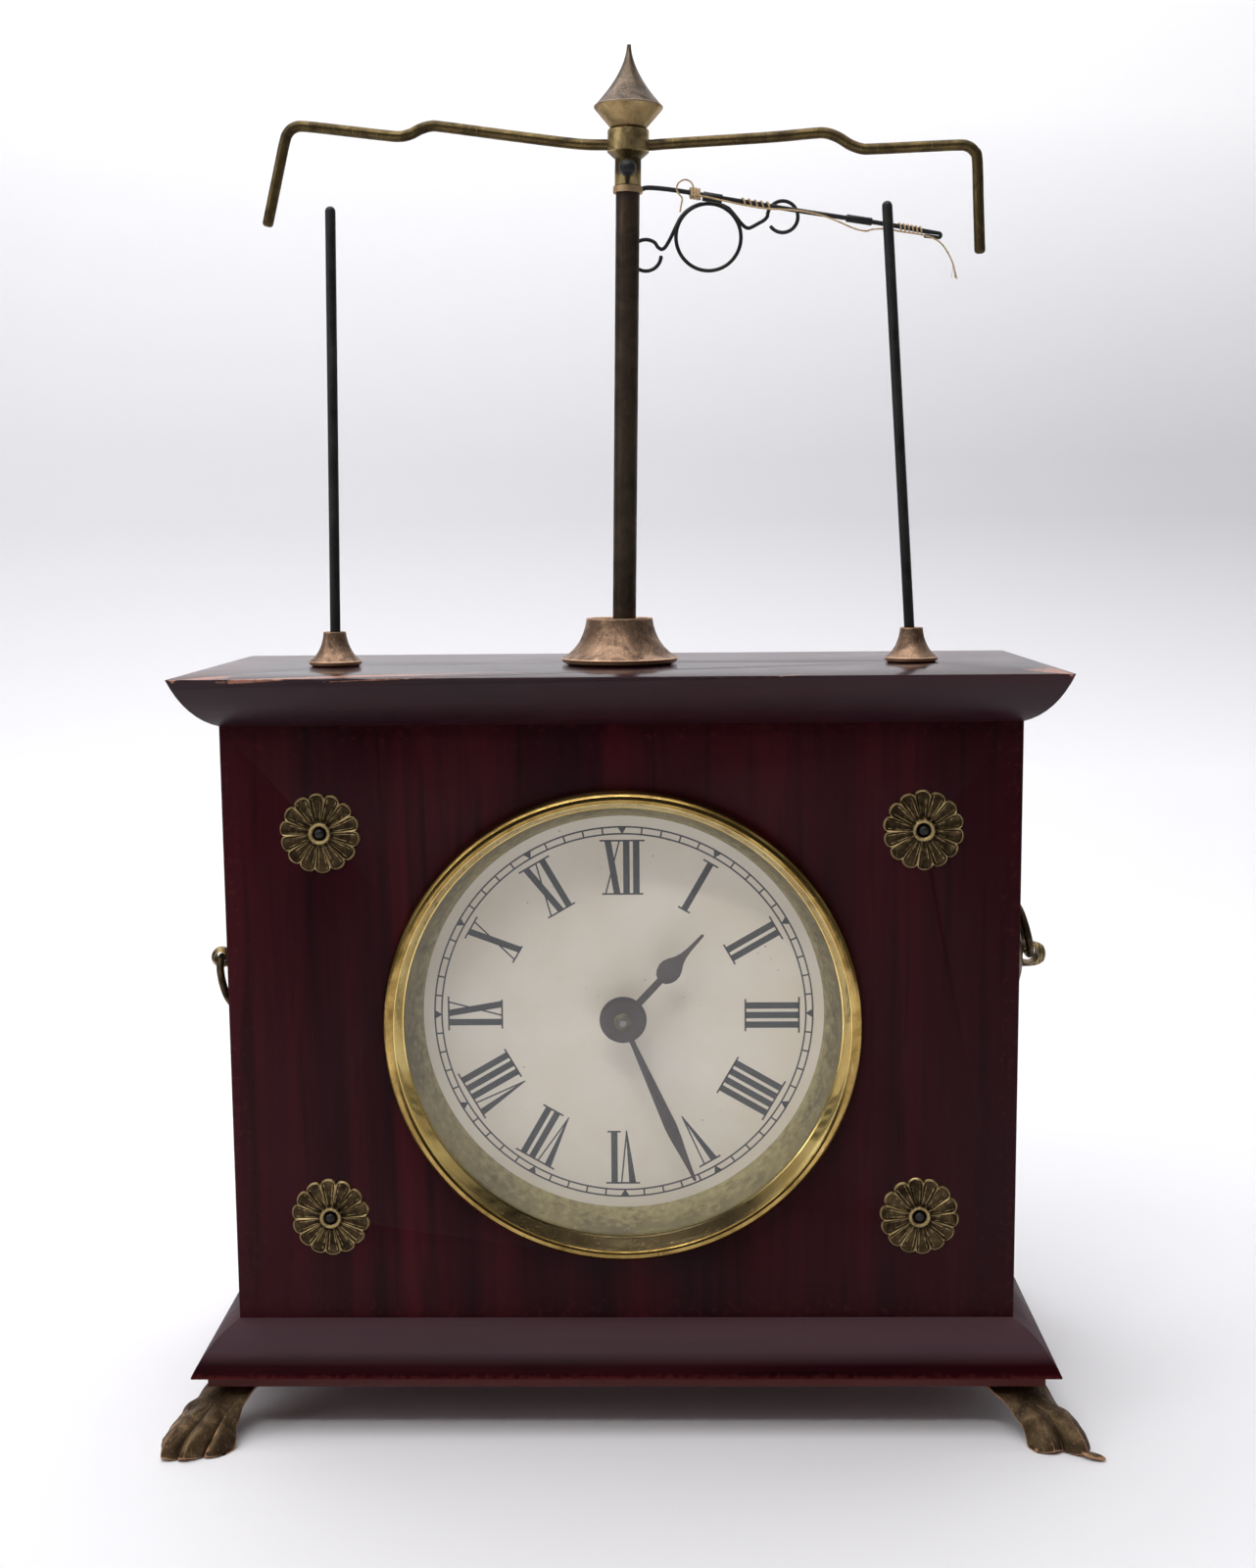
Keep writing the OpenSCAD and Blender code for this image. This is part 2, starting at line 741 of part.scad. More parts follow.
module bezel() {
  color("#c8a24a")
    on_dial()
      rotate_extrude($fn = 96)
        polygon([[skirt_in, skirt_low], [skirt_in, -lip_set_back], [lip_r, -lip_set_back],
          [lip_r, lip_edge - lip_set_back], [roll_at[0], bezel_h],
          for (a = [80 : -10 : 0]) roll_at + roll_r * [cos(a), sin(a)],
          [hole_r + bezel_out, 0], [skirt_r, 0], [skirt_r, skirt_low]]);
}

module glass() {
  color("#dfe6e6", 0.25)
    on_dial()
      disc(skirt_in - 0.05, glass_back, -lip_set_back);
}

module inner_ring() {
  color("#8f8350")
    on_dial()
      rotate_extrude($fn = 96)
        polygon([[skirt_in - 0.5, glass_back - snug], [skirt_in - 0.1, glass_back - snug],
          [skirt_in - 0.1, glass_back - 0.6], [dial_view_r + 0.5, dial_face], [dial_view_r, dial_face]]);
}

module dial() {
  color("#d8d2c6")
    on_dial()
      difference() {
        disc(pan_r, dial_back, -front_t);
        disc(pan_r - pan_wall, dial_face, 0);
        disc(hour_pipe_r + 0.3, dial_back - 1, dial_face + 1);
      }
}

// Hands, drawn pointing up
module hour_hand() {
  color("#4c443c")
    on_dial()
      rotate(-hour_at)
        translate([0, 0, hour_level])
          linear_extrude(hand_t)
            difference() {
              union() {
                circle(r = boss_r);
                polygon([[-0.75, 0], [0.75, 0], [0.75, hour_l - 10], [-0.75, hour_l - 10]]);
                translate([0, hour_l - 9.8])
                  circle(r = 2.4);
                polygon([[-2.2, hour_l - 8.8], [2.2, hour_l - 8.8], [0.9, hour_l - 5.5],
                  [0.15, hour_l], [-0.15, hour_l], [-0.9, hour_l - 5.5]]);
              }
              circle(r = hour_pipe_r);
            }
}

module minute_hand() {
  color("#4c443c")
    on_dial()
      rotate(-minute_at)
        translate([0, 0, minute_level])
          linear_extrude(hand_t)
            difference() {
              union() {
                circle(r = boss_r - 0.4);
                polygon([[-0.55, 0], [0.55, 0], [0.55, 5], [1.3, minute_l - 10.6], [0.12, minute_l],
                  [-0.12, minute_l], [-1.3, minute_l - 10.6], [-0.55, 5]]);
              }
              circle(r = minute_pipe_r);
            }
}

module hand_nut() {
  color("#b08a4c")
    on_dial()
      difference() {
        disc(nut_r, minute_level + hand_t, minute_level + hand_t + nut_t);
        disc(tip_r, -20, 5);
      }
}

// Mast foot on the cap, a round flare with a dished top
mast_hole_x = mast_x + 0.9;

function flare(low_r, high_r, h) =
  [for (i = [0 : bend_steps]) bend([low_r, 0], [high_r + 0.12 * (low_r - high_r), 0.3 * h],
    [high_r, h], i / bend_steps)];

module mast_foot() {
  rim = 1.3;
  color("#8a6a54")
    translate([mast_x, 0, top_z])
      difference() {
        rotate_extrude()
          polygon(concat([[0, 0], [mast_foot_r - 1.6, 0], [mast_foot_r, rim]],
            [for (p = flare(mast_foot_r, 7.1, mast_foot_h - rim)) [p[0], p[1] + rim]],
            [[0, mast_foot_h]]));
        translate([mast_hole_x - mast_x, 0, -1])
          cylinder(r = mast_hole_r, h = mast_foot_h + 2);
        translate([0, 0, mast_foot_h - 1.2])
          cylinder(r = 6.1, h = 2);
      }
}

module mast_tube() {
  color("#6a5a3c")
    on_mast()
      difference() {
        union() {
          disc(tube_r, tube_foot, tube_top);
          translate([0, 0, tube_foot])
            gear(leaves, tube_module, 3.6, 270 + 180 / leaves);
          disc(collar_r, tube_top - collar_h, tube_top);
        }
        disc(bore_r, tube_foot - 1, tube_top + 1);
      }
}

module spindle() {
  color("#8c8c88")
    on_mast()
      disc(spindle_r, cock_low, rod_up - guard_r - 0.3);
}

module hub() {
  color("#94814a")
    on_mast()
      difference() {
        rotate_extrude()
          polygon([[0, sleeve_foot], [sleeve_r, sleeve_foot], [sleeve_r, sleeve_foot + sleeve_l],
            [hub_r, hub_foot], [hub_r, hub_top - 0.5], [hub_r - 0.5, hub_top], [0, hub_top]]);
        disc(spindle_r + snug, sleeve_foot - 1, rod_up);
        bar([-2 * hub_r, 0, rod_up], [2 * hub_r, 0, rod_up], guard_r + snug);
        disc(stem_r + snug, hub_top - stem_l - snug, hub_top + 1);
        translate([-0.4, -sleeve_r - 1, sleeve_foot - 1])
          cube([0.8, sleeve_r + 1, sleeve_l]);
        translate([0, 0, screw_up])
          rotate([90, 0, 0])
            cylinder(r = screw_r + run_fit, h = sleeve_r + 2);
      }
}

module thumb_screw() {
  color("#1c1c1e")
    on_mast()
      translate([0, 0, screw_up])
        rotate([90, 0, 0]) {
          disc(screw_r, spindle_r + 0.05, sleeve_r + thumb_r);
          translate([0, 0, sleeve_r + thumb_r + 0.3])
            sphere(r = thumb_r);
        }
}

function upright(points, y, z) = [for (p = points) [p[0], y, z + p[1]]];
function turned_round(points) = [for (i = [len(points) - 1 : -1 : 0]) points[i]];

module guard_rod() {
  color("#6b5c38")
    on_mast()
      swept(concat(turned_round(smooth(upright(guard_left, 0, rod_up), 2)),
        smooth(upright(guard_right, 0, rod_up), 2)), guard_r, 16);
}

// Finial: a flared cup under a hollow-sided spire, with a stem into the hub
stem_r = 1.3;
stem_l = 1.6;
cup_h = 4;
rim_h = 0.5;

module finial() {
  color("#8c6c54")
    on_mast()
      translate([0, 0, hub_top]) {
        disc(stem_r, -stem_l, 0.5);
        rotate_extrude()
          polygon(concat([[0, 0], [hub_r - 0.5, 0], [finial_r, cup_h], [finial_r, cup_h + rim_h]],
            [for (i = [1 : 12]) [0.35 + (finial_r - 0.35) * pow(1 - i / 12, 1.75),
              cup_h + rim_h + spire_h * i / 12]],
            [[0, cup_h + rim_h + spire_h]]));
      }
}

// The arm ends in a small eye: its wire turns under and comes back
eye_bend = [for (a = [90 : -22.5 : -90])
  [eye_along[0] + eye_r * cos(a), 0, eye_centre + eye_r * sin(a)]];
eye_end = [eye_along[1], 0, eye_centre - eye_r + 0.3];
arm_route = concat(arm_points, eye_bend, [eye_end]);

module arm() {
  color("#1f1f20")
    on_arm()
      swept(arm_route, [for (i = [0 : len(arm_route) - 1]) i < len(arm_points) ? arm_r : eye_wire], 12);
}

function on_axis(x) = [x, 0, arm_height(x)];

module sleeve_on_arm(ends, r, drop) {
  difference() {
    translate([0, 0, -drop])
      bar(on_axis(ends[0]), on_axis(ends[1]), r);
    bar(on_axis(ends[0] - 1), on_axis(ends[1] + 1), arm_r + 0.01);
  }
}

module arm_sleeves() {
  color("#2a2622")
    on_arm() {
      sleeve_on_arm(sleeve_along, arm_r + 0.3, 0);
      sleeve_on_arm(lump_along, lump_r, lump_drop);
    }
}

function arc_points(at, r, from, to, step) =
  [for (a = [from : from < to ? step : -step : to]) at + r * [cos(a), sin(a)]];

function from_arm(points) = [for (p = points) [p[0], arm_top + p[1]]];

// Scroll wire: a large ring, and behind it two strands that end in small rings
module scroll_wire() {
  left = concat(arc_points(big_ring, strand_r, 100, 158, 14.5), smooth(from_arm(left_wave), 2),
    arc_points(small_left, small_ring_r, 54, 360, 18));
  right = concat(smooth(from_arm(right_wave), 2),
    arc_points(small_right, small_ring_r, 180, -144, 18));
  color("#1d1d1e")
    on_arm() {
      translate([big_ring[0], scroll_off, big_ring[1]])
        rotate([90, 0, 0])
          rotate_extrude()
            translate([big_ring_r, 0])
              circle(r = scroll_r, $fn = 24);
      for (strand = [left, right])
        swept([for (p = strand) [p[0], strand_off, p[1]]], scroll_r, 10);
    }
}

module thread() {
  color("#b79a70")
    on_arm()
      swept(smooth(thread_route, 2), thread_r, 8);
}

function winding(ends, turns, r) =
  [for (i = [0 : 12 * turns]) let (x = ends[0] + (ends[1] - ends[0]) * i / 12 / turns, a = 30 * i)
    [x, r * cos(a), arm_height(x) + r * sin(a)]];

module thread_windings() {
  color("#b79a70")
    on_arm() {
      swept(winding(mid_wind, mid_turns, wind_r), thread_r, 6);
      swept(winding(tip_wind, tip_turns, wind_r), thread_r, 6);
      swept(winding(knot_ends, knot_turns, knot_wrap_r), 1.6 * thread_r, 6);
    }
}

// Pins in their cones
module pin(side, grow) {
  translate([side * pin_x, 0, top_z])
    rotate([0, side > 0 ? -right_lean : left_lean, 0]) {
      disc(pin_r + grow, -cap_h + 2, pin_h);
      translate([0, 0, pin_h])
        sphere(r = pin_r + grow);
    }
}

module pin_cone(side) {
  rim = 1;
  color("#8a6a54")
    difference() {
      translate([side * pin_x, 0, top_z])
        rotate_extrude()
          polygon(concat([[0, 0], [cone_r - 0.8, 0], [cone_r, rim]],
            [for (p = flare(cone_r, cone_neck, cone_h - rim)) [p[0], p[1] + rim]], [[0, cone_h]]));
      pin(side, snug);
    }
}

// Movement: plates, pillars and the cock that carries the spindle
pillar_x = plate_w / 2 - 5;
pillar_z = plate_h / 2 - 6;
pillar_r = 2.2;
tenon_r = 1.6;

module each_pillar() {
  for (side = [-1, 1])
    for (up = [-1, 1])
      translate([side * pillar_x, up * pillar_z, 0])
        children();
}

module plate(low) {
  on_dial()
    difference() {
      translate([-plate_w / 2, -plate_h / 2, low])
        cube([plate_w, plate_h, plate_t]);
      disc(arbor_r + run_fit, low - 1, low + 3);
      translate([mast_x, arbor_gap, 0])
        disc(contrate_arbor_r + run_fit, low - 1, low + 3);
      translate([0, -arbor_gap, 0])
        disc(winding_r + run_fit, low - 1, low + 3);
      each_pillar()
        disc(tenon_r + snug, low - 1, low + 3);
    }
}

module front_plate() {
  color("#a8884a") {
    plate(plate_back);
    on_dial()
      translate([post_pos[0], post_pos[1], 0])
        disc(post_r, plate_back, dial_back - 0.2);
  }
}

module back_plate() {
  color("#a8884a") {
    plate(rear_back);
    on_dial()
      translate([click_post[0], click_post[1] - arbor_gap, 0])
        disc(click_post_r, rear_back - 2.4, rear_face);
  }
}

module pillars() {
  color("#9a7c42")
    on_dial()
      each_pillar() {
        disc(tenon_r, rear_back, dial_back);
        disc(pillar_r, rear_face, plate_back);
      }
}

module spindle_cock() {
  reach_y = -rear_face - body_d / 2;
  color("#a8884a")
    difference() {
      translate([mast_x, 0, contrate_z]) {
        translate([-3.5, -2.2, cock_low])
          cube([7, reach_y + 2.2, cock_top - cock_low]);
        translate([-8, reach_y - 1.2, cock_low])
          cube([16, 1.2, cock_top - cock_low + 6]);
      }
      on_mast()
        disc(spindle_r + snug, cock_low, cock_top + 2);
      on_mast()
        disc(tube_pinion_r + 1.2, cock_top, cock_top + 20);
    }
}

// Wheels
module centre_arbor() {
  color("#8c8c88")
    on_dial() {
      disc(arbor_r, rear_back - 9, cannon_level);
      disc(minute_pipe_r, cannon_level, minute_level + hand_t);
      disc(tip_r, minute_level, minute_level + hand_t + nut_t + 0.7);
      translate([0, 0, cannon_level])
        gear(leaves, cannon_module, 1.6, post_way);
      disc(4.5, rear_back - 9, rear_back - 4);
    }
}

module centre_wheel() {
  color("#a8884a")
    on_dial()
      difference() {
        union() {
          disc(arbor_r + 1, great_level - 2.5, plate_back - 1);
          translate([0, 0, upper_level - upper_t])
            wheel_with_holes(upper_module, upper_t, upper_way);
          translate([0, 0, great_level - 1.5])
            gear(leaves, train_module, 4.6, 270 + 180 / leaves);
        }
        disc(arbor_r + run_fit, -100, 0);
      }
}

module wheel_with_holes(m, h, turn) {
  difference() {
    gear(wheel_teeth, m, h, turn);
    for (k = [0 : 3])
      rotate(45 + 90 * k)
        translate([wheel_teeth * m / 4 + 0.6, 0, -1])
          cylinder(r = wheel_teeth * m / 9, h = h + 2);
  }
}

module contrate_wheel() {
  color("#a8884a")
    on_dial()
      translate([contrate_pos[0], arbor_gap, 0]) {
        disc(contrate_arbor_r, rear_back, plate_face);
        translate([0, 0, upper_level - upper_t - 1.2])
          gear(leaves, upper_module, 3.6, upper_way + 180 + 180 / leaves);
        difference() {
          disc(contrate_r + crown_w / 2, crown_root, crown_root + crown_disc_t);
          for (k = [0 : 3])
            rotate(90 * k)
              translate([contrate_r / 2, 0, 0])
                disc(contrate_r / 4.5, crown_root - 1, crown_root + 3);
        }
        for (k = [0 : contrate_teeth - 1])
          rotate(90 - mast_lean + 360 * k / contrate_teeth)
            translate([contrate_r - crown_w / 2, 0, crown_root + 0.05])
              crown_tooth();
      }
}

// One tooth of the contrate wheel, standing on the disc and pointing to the mast
module crown_tooth() {
  pitch = PI * tube_module;
  low = 0.3 * pitch;
  high = 0.13 * pitch;
  h = crown_root - crown_tip + 0.05;
  rotate([90, 0, 90])
    linear_extrude(crown_w)
      polygon([[-low, 0], [low, 0], [high, -h], [-high, -h]]);
}

module great_wheel() {
  color("#a8884a")
    on_dial()
      translate([0, -arbor_gap, 0])
        difference() {
          union() {
            translate([0, 0, great_level])
              gear(wheel_teeth, train_module, great_t, 90);
            disc(barrel_r, great_level - barrel_h, great_level);
          }
          disc(barrel_r - barrel_wall, great_level - barrel_h + barrel_wall, great_level);
          disc(winding_r + run_fit, -100, 0);
        }
}

// The spring strip winds outward from the arbor to the barrel's wall
module mainspring() {
  inner = winding_r + 0.15;
  outer = barrel_r - barrel_wall - spring_t - 0.15;
  steps = 24 * spring_turns;
  points = [for (i = [0 : steps]) let (r = inner + (outer - inner) * i / steps, a = 15 * i) [r, a]];
  color("#6c7078")
    on_dial()
      translate([0, -arbor_gap, great_level - barrel_h + barrel_wall + part_gap])
        linear_extrude(barrel_h - barrel_wall - 2 * part_gap)
          polygon(concat([for (p = points) p[0] * [cos(p[1]), sin(p[1])]],
            [for (i = [steps : -1 : 0]) (points[i][0] + spring_t) * [cos(points[i][1]), sin(points[i][1])]]));
}

// Winding arbor with its ratchet and key
ratchet_r = 6;
ratchet_depth = 1;
ratchet_level = rear_back - 1.6;
ratchet_t = 1.2;
key_r = 2.6;
key_l = 6;
key_level = rear_back - 4;
key_w = 20;
click_post = [10, 5.5];
click_post_r = 0.8;
nose_way = 78;

module winding_key() {
  color("#9a8450")
    on_dial()
      translate([0, -arbor_gap, 0]) {
        disc(winding_r, key_level - key_l, plate_face);
        translate([0, 0, ratchet_level])
          linear_extrude(ratchet_t)
            polygon([for (k = [0 : ratchet_teeth - 1]) let (a = nose_way + 6 + 360 * k / ratchet_teeth)
              each [(ratchet_r - ratchet_depth) * [cos(a - 4), sin(a - 4)],
                ratchet_r * [cos(a), sin(a)]]]);
        disc(key_r, key_level - key_l, key_level);
        difference() {
          translate([-key_w / 2, -4, key_level - key_l])
            cube([key_w, 8, 1.6]);
          for (side = [-1, 1])
            translate([side * (key_w / 2 - 3.5), 0, 0])
              disc(1.8, key_level - key_l - 1, key_level);
        }
      }
}

module click() {
  nose = (ratchet_r + 0.3) * [cos(nose_way), sin(nose_way)];
  color("#8c8c88")
    on_dial()
      translate([0, -arbor_gap, ratchet_level])
        linear_extrude(ratchet_t)
          difference() {
            union() {
              translate(click_post)
                circle(r = 2);
              polygon([nose, click_post + [0, -1.4], click_post + [0, 1.8], nose + [1.2, 1.8]]);
            }
            translate(click_post)
              circle(r = click_post_r + run_fit);
          }
}

module minute_wheel() {
  color("#a8884a")
    on_dial()
      translate([post_pos[0], post_pos[1], 0])
        difference() {
          union() {
            translate([0, 0, cannon_level + 0.4])
              gear(minute_teeth, cannon_module, motion_wheel_t, post_way + 180 + 180 / minute_teeth);
            translate([0, 0, cannon_level + 0.4])
              gear(leaves, hour_module, 2.6, post_way + 180 + 180 / leaves);
          }
          disc(post_r + run_fit, -100, 0);
        }
}

module hour_wheel() {
  color("#a8884a")
    on_dial()
      difference() {
        union() {
          translate([0, 0, hour_wheel_level])
            gear(hour_teeth, hour_module, motion_wheel_t, post_way);
          disc(hour_pipe_r, hour_wheel_level, hour_level + hand_t);
        }
        disc(minute_pipe_r + run_fit, -100, 5);
      }
}

base();
bottom_board();
front_panel();
color("#38101a") side_panel(-1);  // side_panel_left
color("#38101a") side_panel(1);  // side_panel_right
cap();
back_door();
hinges_fixed();
hinges_moving();
door_knob();
foot(-1, -1);  // foot_front_left
foot(1, -1);  // foot_front_right
foot(-1, 1);  // foot_rear_left
foot(1, 1);  // foot_rear_right
foot_screws();
rosette(-1, 1);  // rosette_top_left
rosette(1, 1);  // rosette_top_right
rosette(-1, -1);  // rosette_bottom_left
rosette(1, -1);  // rosette_bottom_right
rosette_nails();
side_stud(-1);  // side_stud_left
side_stud(1);  // side_stud_right
side_ring(-1, -ring_lean);  // side_ring_left
side_ring(1, -180 - ring_lean);  // side_ring_right
bezel();
glass();
inner_ring();
dial();
hour_hand();
minute_hand();
hand_nut();
mast_foot();
mast_tube();
spindle();
hub();
thumb_screw();
guard_rod();
finial();
arm();
arm_sleeves();
scroll_wire();
thread();
thread_windings();
color("#242424") pin(-1, 0);  // pin_left
color("#242424") pin(1, 0);  // pin_right
pin_cone(-1);  // pin_cone_left
pin_cone(1);  // pin_cone_right
front_plate();
back_plate();
pillars();
spindle_cock();
centre_arbor();
centre_wheel();
contrate_wheel();
great_wheel();
mainspring();
winding_key();
click();
minute_wheel();
hour_wheel();
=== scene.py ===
import math
import random

import bmesh
import bpy
from mathutils import Matrix, Vector, noise


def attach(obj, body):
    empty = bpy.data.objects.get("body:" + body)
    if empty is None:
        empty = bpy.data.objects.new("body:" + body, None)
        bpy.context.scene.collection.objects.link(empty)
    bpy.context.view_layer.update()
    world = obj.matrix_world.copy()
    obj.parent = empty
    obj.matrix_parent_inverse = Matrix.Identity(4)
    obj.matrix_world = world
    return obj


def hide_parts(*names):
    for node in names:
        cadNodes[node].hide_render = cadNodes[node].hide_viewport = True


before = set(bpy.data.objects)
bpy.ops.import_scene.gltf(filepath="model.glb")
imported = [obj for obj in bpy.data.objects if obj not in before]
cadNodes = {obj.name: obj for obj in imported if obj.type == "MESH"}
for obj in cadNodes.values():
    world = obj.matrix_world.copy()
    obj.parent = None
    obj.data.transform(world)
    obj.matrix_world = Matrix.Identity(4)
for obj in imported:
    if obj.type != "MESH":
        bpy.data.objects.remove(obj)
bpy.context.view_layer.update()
print("frame loaded:", len(cadNodes), "nodes")

# Places are written in millimetres, in the frame of the piece that carries them
millimetre = Matrix.Scale(0.001, 4)
dialCentre = 84.5
dialFrame = Matrix.Translation((0, -31.7, dialCentre)) @ Matrix.Rotation(math.radians(90), 4, "X")
mastFrame = Matrix.Translation((-0.6, 0, 102.5)) @ Matrix.Rotation(math.radians(0.95), 4, "Y")
armFrame = mastFrame @ Matrix.Rotation(math.radians(3.5), 4, "Z") @ Matrix.Translation((0, 2, 0))
capTop = 156.5
armTop = 153.4


def addObject(name, data):
    made = bpy.data.objects.new(name, data)
    bpy.context.scene.collection.objects.link(made)
    return made


# ---- camera ----
cameraLook = {
    "at": (8.44, -409.1, 182.4),
    "lens": 43.54,
    "down": 7.25,
    "left": 1.05,
    "roll": -0.48,
}


def addCamera(look):
    data = bpy.data.cameras.new("studioCamera")
    data.lens = look["lens"]
    data.sensor_width = 36
    data.clip_start = 0.01
    camera = addObject("studioCamera", data)
    camera.matrix_world = (
        Matrix.Translation(Vector(look["at"]) * 0.001)
        @ Matrix.Rotation(math.radians(look["left"]), 4, "Z")
        @ Matrix.Rotation(math.radians(90 - look["down"]), 4, "X")
        @ Matrix.Rotation(math.radians(look["roll"]), 4, "Z")
    )
    bpy.context.scene.camera = camera


addCamera(cameraLook)
bpy.context.scene.view_settings.view_transform = "Standard"


# ---- shader helpers ----
def srgb(red, green, blue):
    def linear(value):
        value = value / 255
        return value / 12.92 if value <= 0.04045 else ((value + 0.055) / 1.055) ** 2.4
    return (linear(red), linear(green), linear(blue), 1)


def setInputs(tree, node, inputs):
    # A socket is linked, and a plain value is set
    for key, value in inputs.items():
        if isinstance(value, bpy.types.NodeSocket):
            tree.links.new(value, node.inputs[key])
        else:
            node.inputs[key].default_value = value


def addNode(tree, kind, inputs=None, **settings):
    made = tree.nodes.new("ShaderNode" + kind)
    for key, value in settings.items():
        setattr(made, key, value)
    setInputs(tree, made, inputs or {})
    return made


def mixColour(tree, factor, first, second, kind="MIX"):
    made = addNode(tree, "Mix", {0: factor, 6: first, 7: second}, data_type="RGBA", blend_type=kind)
    return made.outputs[2]


def maths(tree, kind, first, second=0.0, clamp=False):
    return addNode(tree, "Math", {0: first, 1: second}, operation=kind, use_clamp=clamp).outputs[0]


def times(tree, first, second):
    return maths(tree, "MULTIPLY", first, second)


def spread(tree, value, low, high, outLow=0.0, outHigh=1.0):
    made = addNode(tree, "MapRange", {0: value, 1: low, 2: high, 3: outLow, 4: outHigh})
    return made.outputs[0]


def noiseAt(tree, vector, scale, detail=4.0, roughness=0.55, distortion=0.0):
    made = addNode(tree, "TexNoise", {
        "Vector": vector, "Scale": scale, "Detail": detail,
        "Roughness": roughness, "Distortion": distortion})
    return made.outputs[0]


def objectPoint(tree, scale=(1, 1, 1), turn=(0, 0, 0), move=(0, 0, 0)):
    where = addNode(tree, "TexCoord").outputs["Object"]
    return addNode(tree, "Mapping", {
        "Vector": where, "Scale": scale, "Rotation": turn, "Location": move}).outputs[0]


def newGroup(name, inputs, outputs):
    group = bpy.data.node_groups.new(name, "ShaderNodeTree")
    for label, kind, value in inputs:
        socket = group.interface.new_socket(label, in_out="INPUT", socket_type=kind)
        if value is not None:
            socket.default_value = value
    for label in outputs:
        group.interface.new_socket(label, in_out="OUTPUT", socket_type="NodeSocketFloat")
    ends = group.nodes.new("NodeGroupInput"), group.nodes.new("NodeGroupOutput")
    return group, ends[0].outputs, ends[1].inputs


def useGroup(tree, group, inputs):
    return addNode(tree, "Group", inputs, node_tree=group).outputs


def heightOf(tree, point):
    return addNode(tree, "SeparateXYZ", {0: point}).outputs["Z"]


def meshValue(tree, name):
    return addNode(tree, "Attribute", attribute_name=name).outputs["Fac"]


def addBump(tree, shader, height, strength, distance):
    bump = addNode(tree, "Bump", {"Height": height, "Strength": strength, "Distance": distance})
    tree.links.new(bump.outputs[0], shader.inputs["Normal"])


def newMaterial(name):
    made = bpy.data.materials.new(name)
    made.use_nodes = True
    tree = made.node_tree
    return made, tree, tree.nodes["Principled BSDF"], objectPoint(tree)


# Wood grain: the vector comes already stretched along the grain
woodGrain, taken, given = newGroup(
    "woodGrain",
    [("Vector", "NodeSocketVector", None), ("Streaks", "NodeSocketFloat", 1.0)],
    ["Streak", "Fine", "Cloud"])
streak = noiseAt(woodGrain, taken["Vector"], 55, 6, 0.62, 0.6)
woodGrain.links.new(spread(woodGrain, streak, 0.34, 0.68), given["Streak"])
fine = noiseAt(woodGrain, taken["Vector"], 420, 3, 0.6)
woodGrain.links.new(spread(woodGrain, fine, 0.3, 0.72), given["Fine"])
cloud = noiseAt(woodGrain, taken["Vector"], 9, 3, 0.5, 1.2)
woodGrain.links.new(spread(woodGrain, cloud, 0.36, 0.66), given["Cloud"])

# Tarnish: slow clouds, small specks and fine scratches
tarnish, taken, given = newGroup(
    "tarnish",
    [("Vector", "NodeSocketVector", None), ("Size", "NodeSocketFloat", 1.0)],
    ["Cloud", "Speck", "Scratch"])
sized = addNode(tarnish, "VectorMath", {0: taken["Vector"], "Scale": taken["Size"]},
                operation="SCALE").outputs[0]
cloud = noiseAt(tarnish, sized, 120, 5, 0.6, 0.8)
tarnish.links.new(spread(tarnish, cloud, 0.35, 0.66), given["Cloud"])
speck = noiseAt(tarnish, sized, 1500, 2, 0.5)
tarnish.links.new(spread(tarnish, speck, 0.6, 0.72), given["Speck"])
stretched = addNode(tarnish, "Mapping", {"Vector": sized, "Scale": (1, 1, 0.12),
                    "Rotation": (0.3, 0.4, 0.2)}).outputs[0]
scratch = noiseAt(tarnish, stretched, 1800, 2, 0.5)
tarnish.links.new(spread(tarnish, scratch, 0.62, 0.7), given["Scratch"])

# Worn edges: the mesh stores how far each point stands out, and noise breaks it up
wornEdge, taken, given = newGroup(
    "wornEdge",
    [("Edge", "NodeSocketFloat", 0.0), ("Vector", "NodeSocketVector", None),
     ("Amount", "NodeSocketFloat", 0.5)],
    ["Mask"])
broken = noiseAt(wornEdge, taken["Vector"], 600, 4, 0.6)
together = maths(wornEdge, "ADD", taken["Edge"], times(wornEdge, broken, 0.7))
start = maths(wornEdge, "SUBTRACT", 1.25, taken["Amount"])
wornEdge.links.new(
    addNode(wornEdge, "MapRange", {0: together, 1: start,
            2: maths(wornEdge, "ADD", start, 0.25)}).outputs[0], given["Mask"])


# ---- materials ----
woodLook = {
    "dark": srgb(30, 4, 11),
    "middle": srgb(52, 10, 18),
    "red": srgb(76, 14, 22),
    "raw": srgb(186, 128, 104),
    "roughness": 0.42,
    "gloss": 0.3,
    # Colour of the painted highlight on the upper part of the base board
    "sheenColour": srgb(92, 74, 80),
}


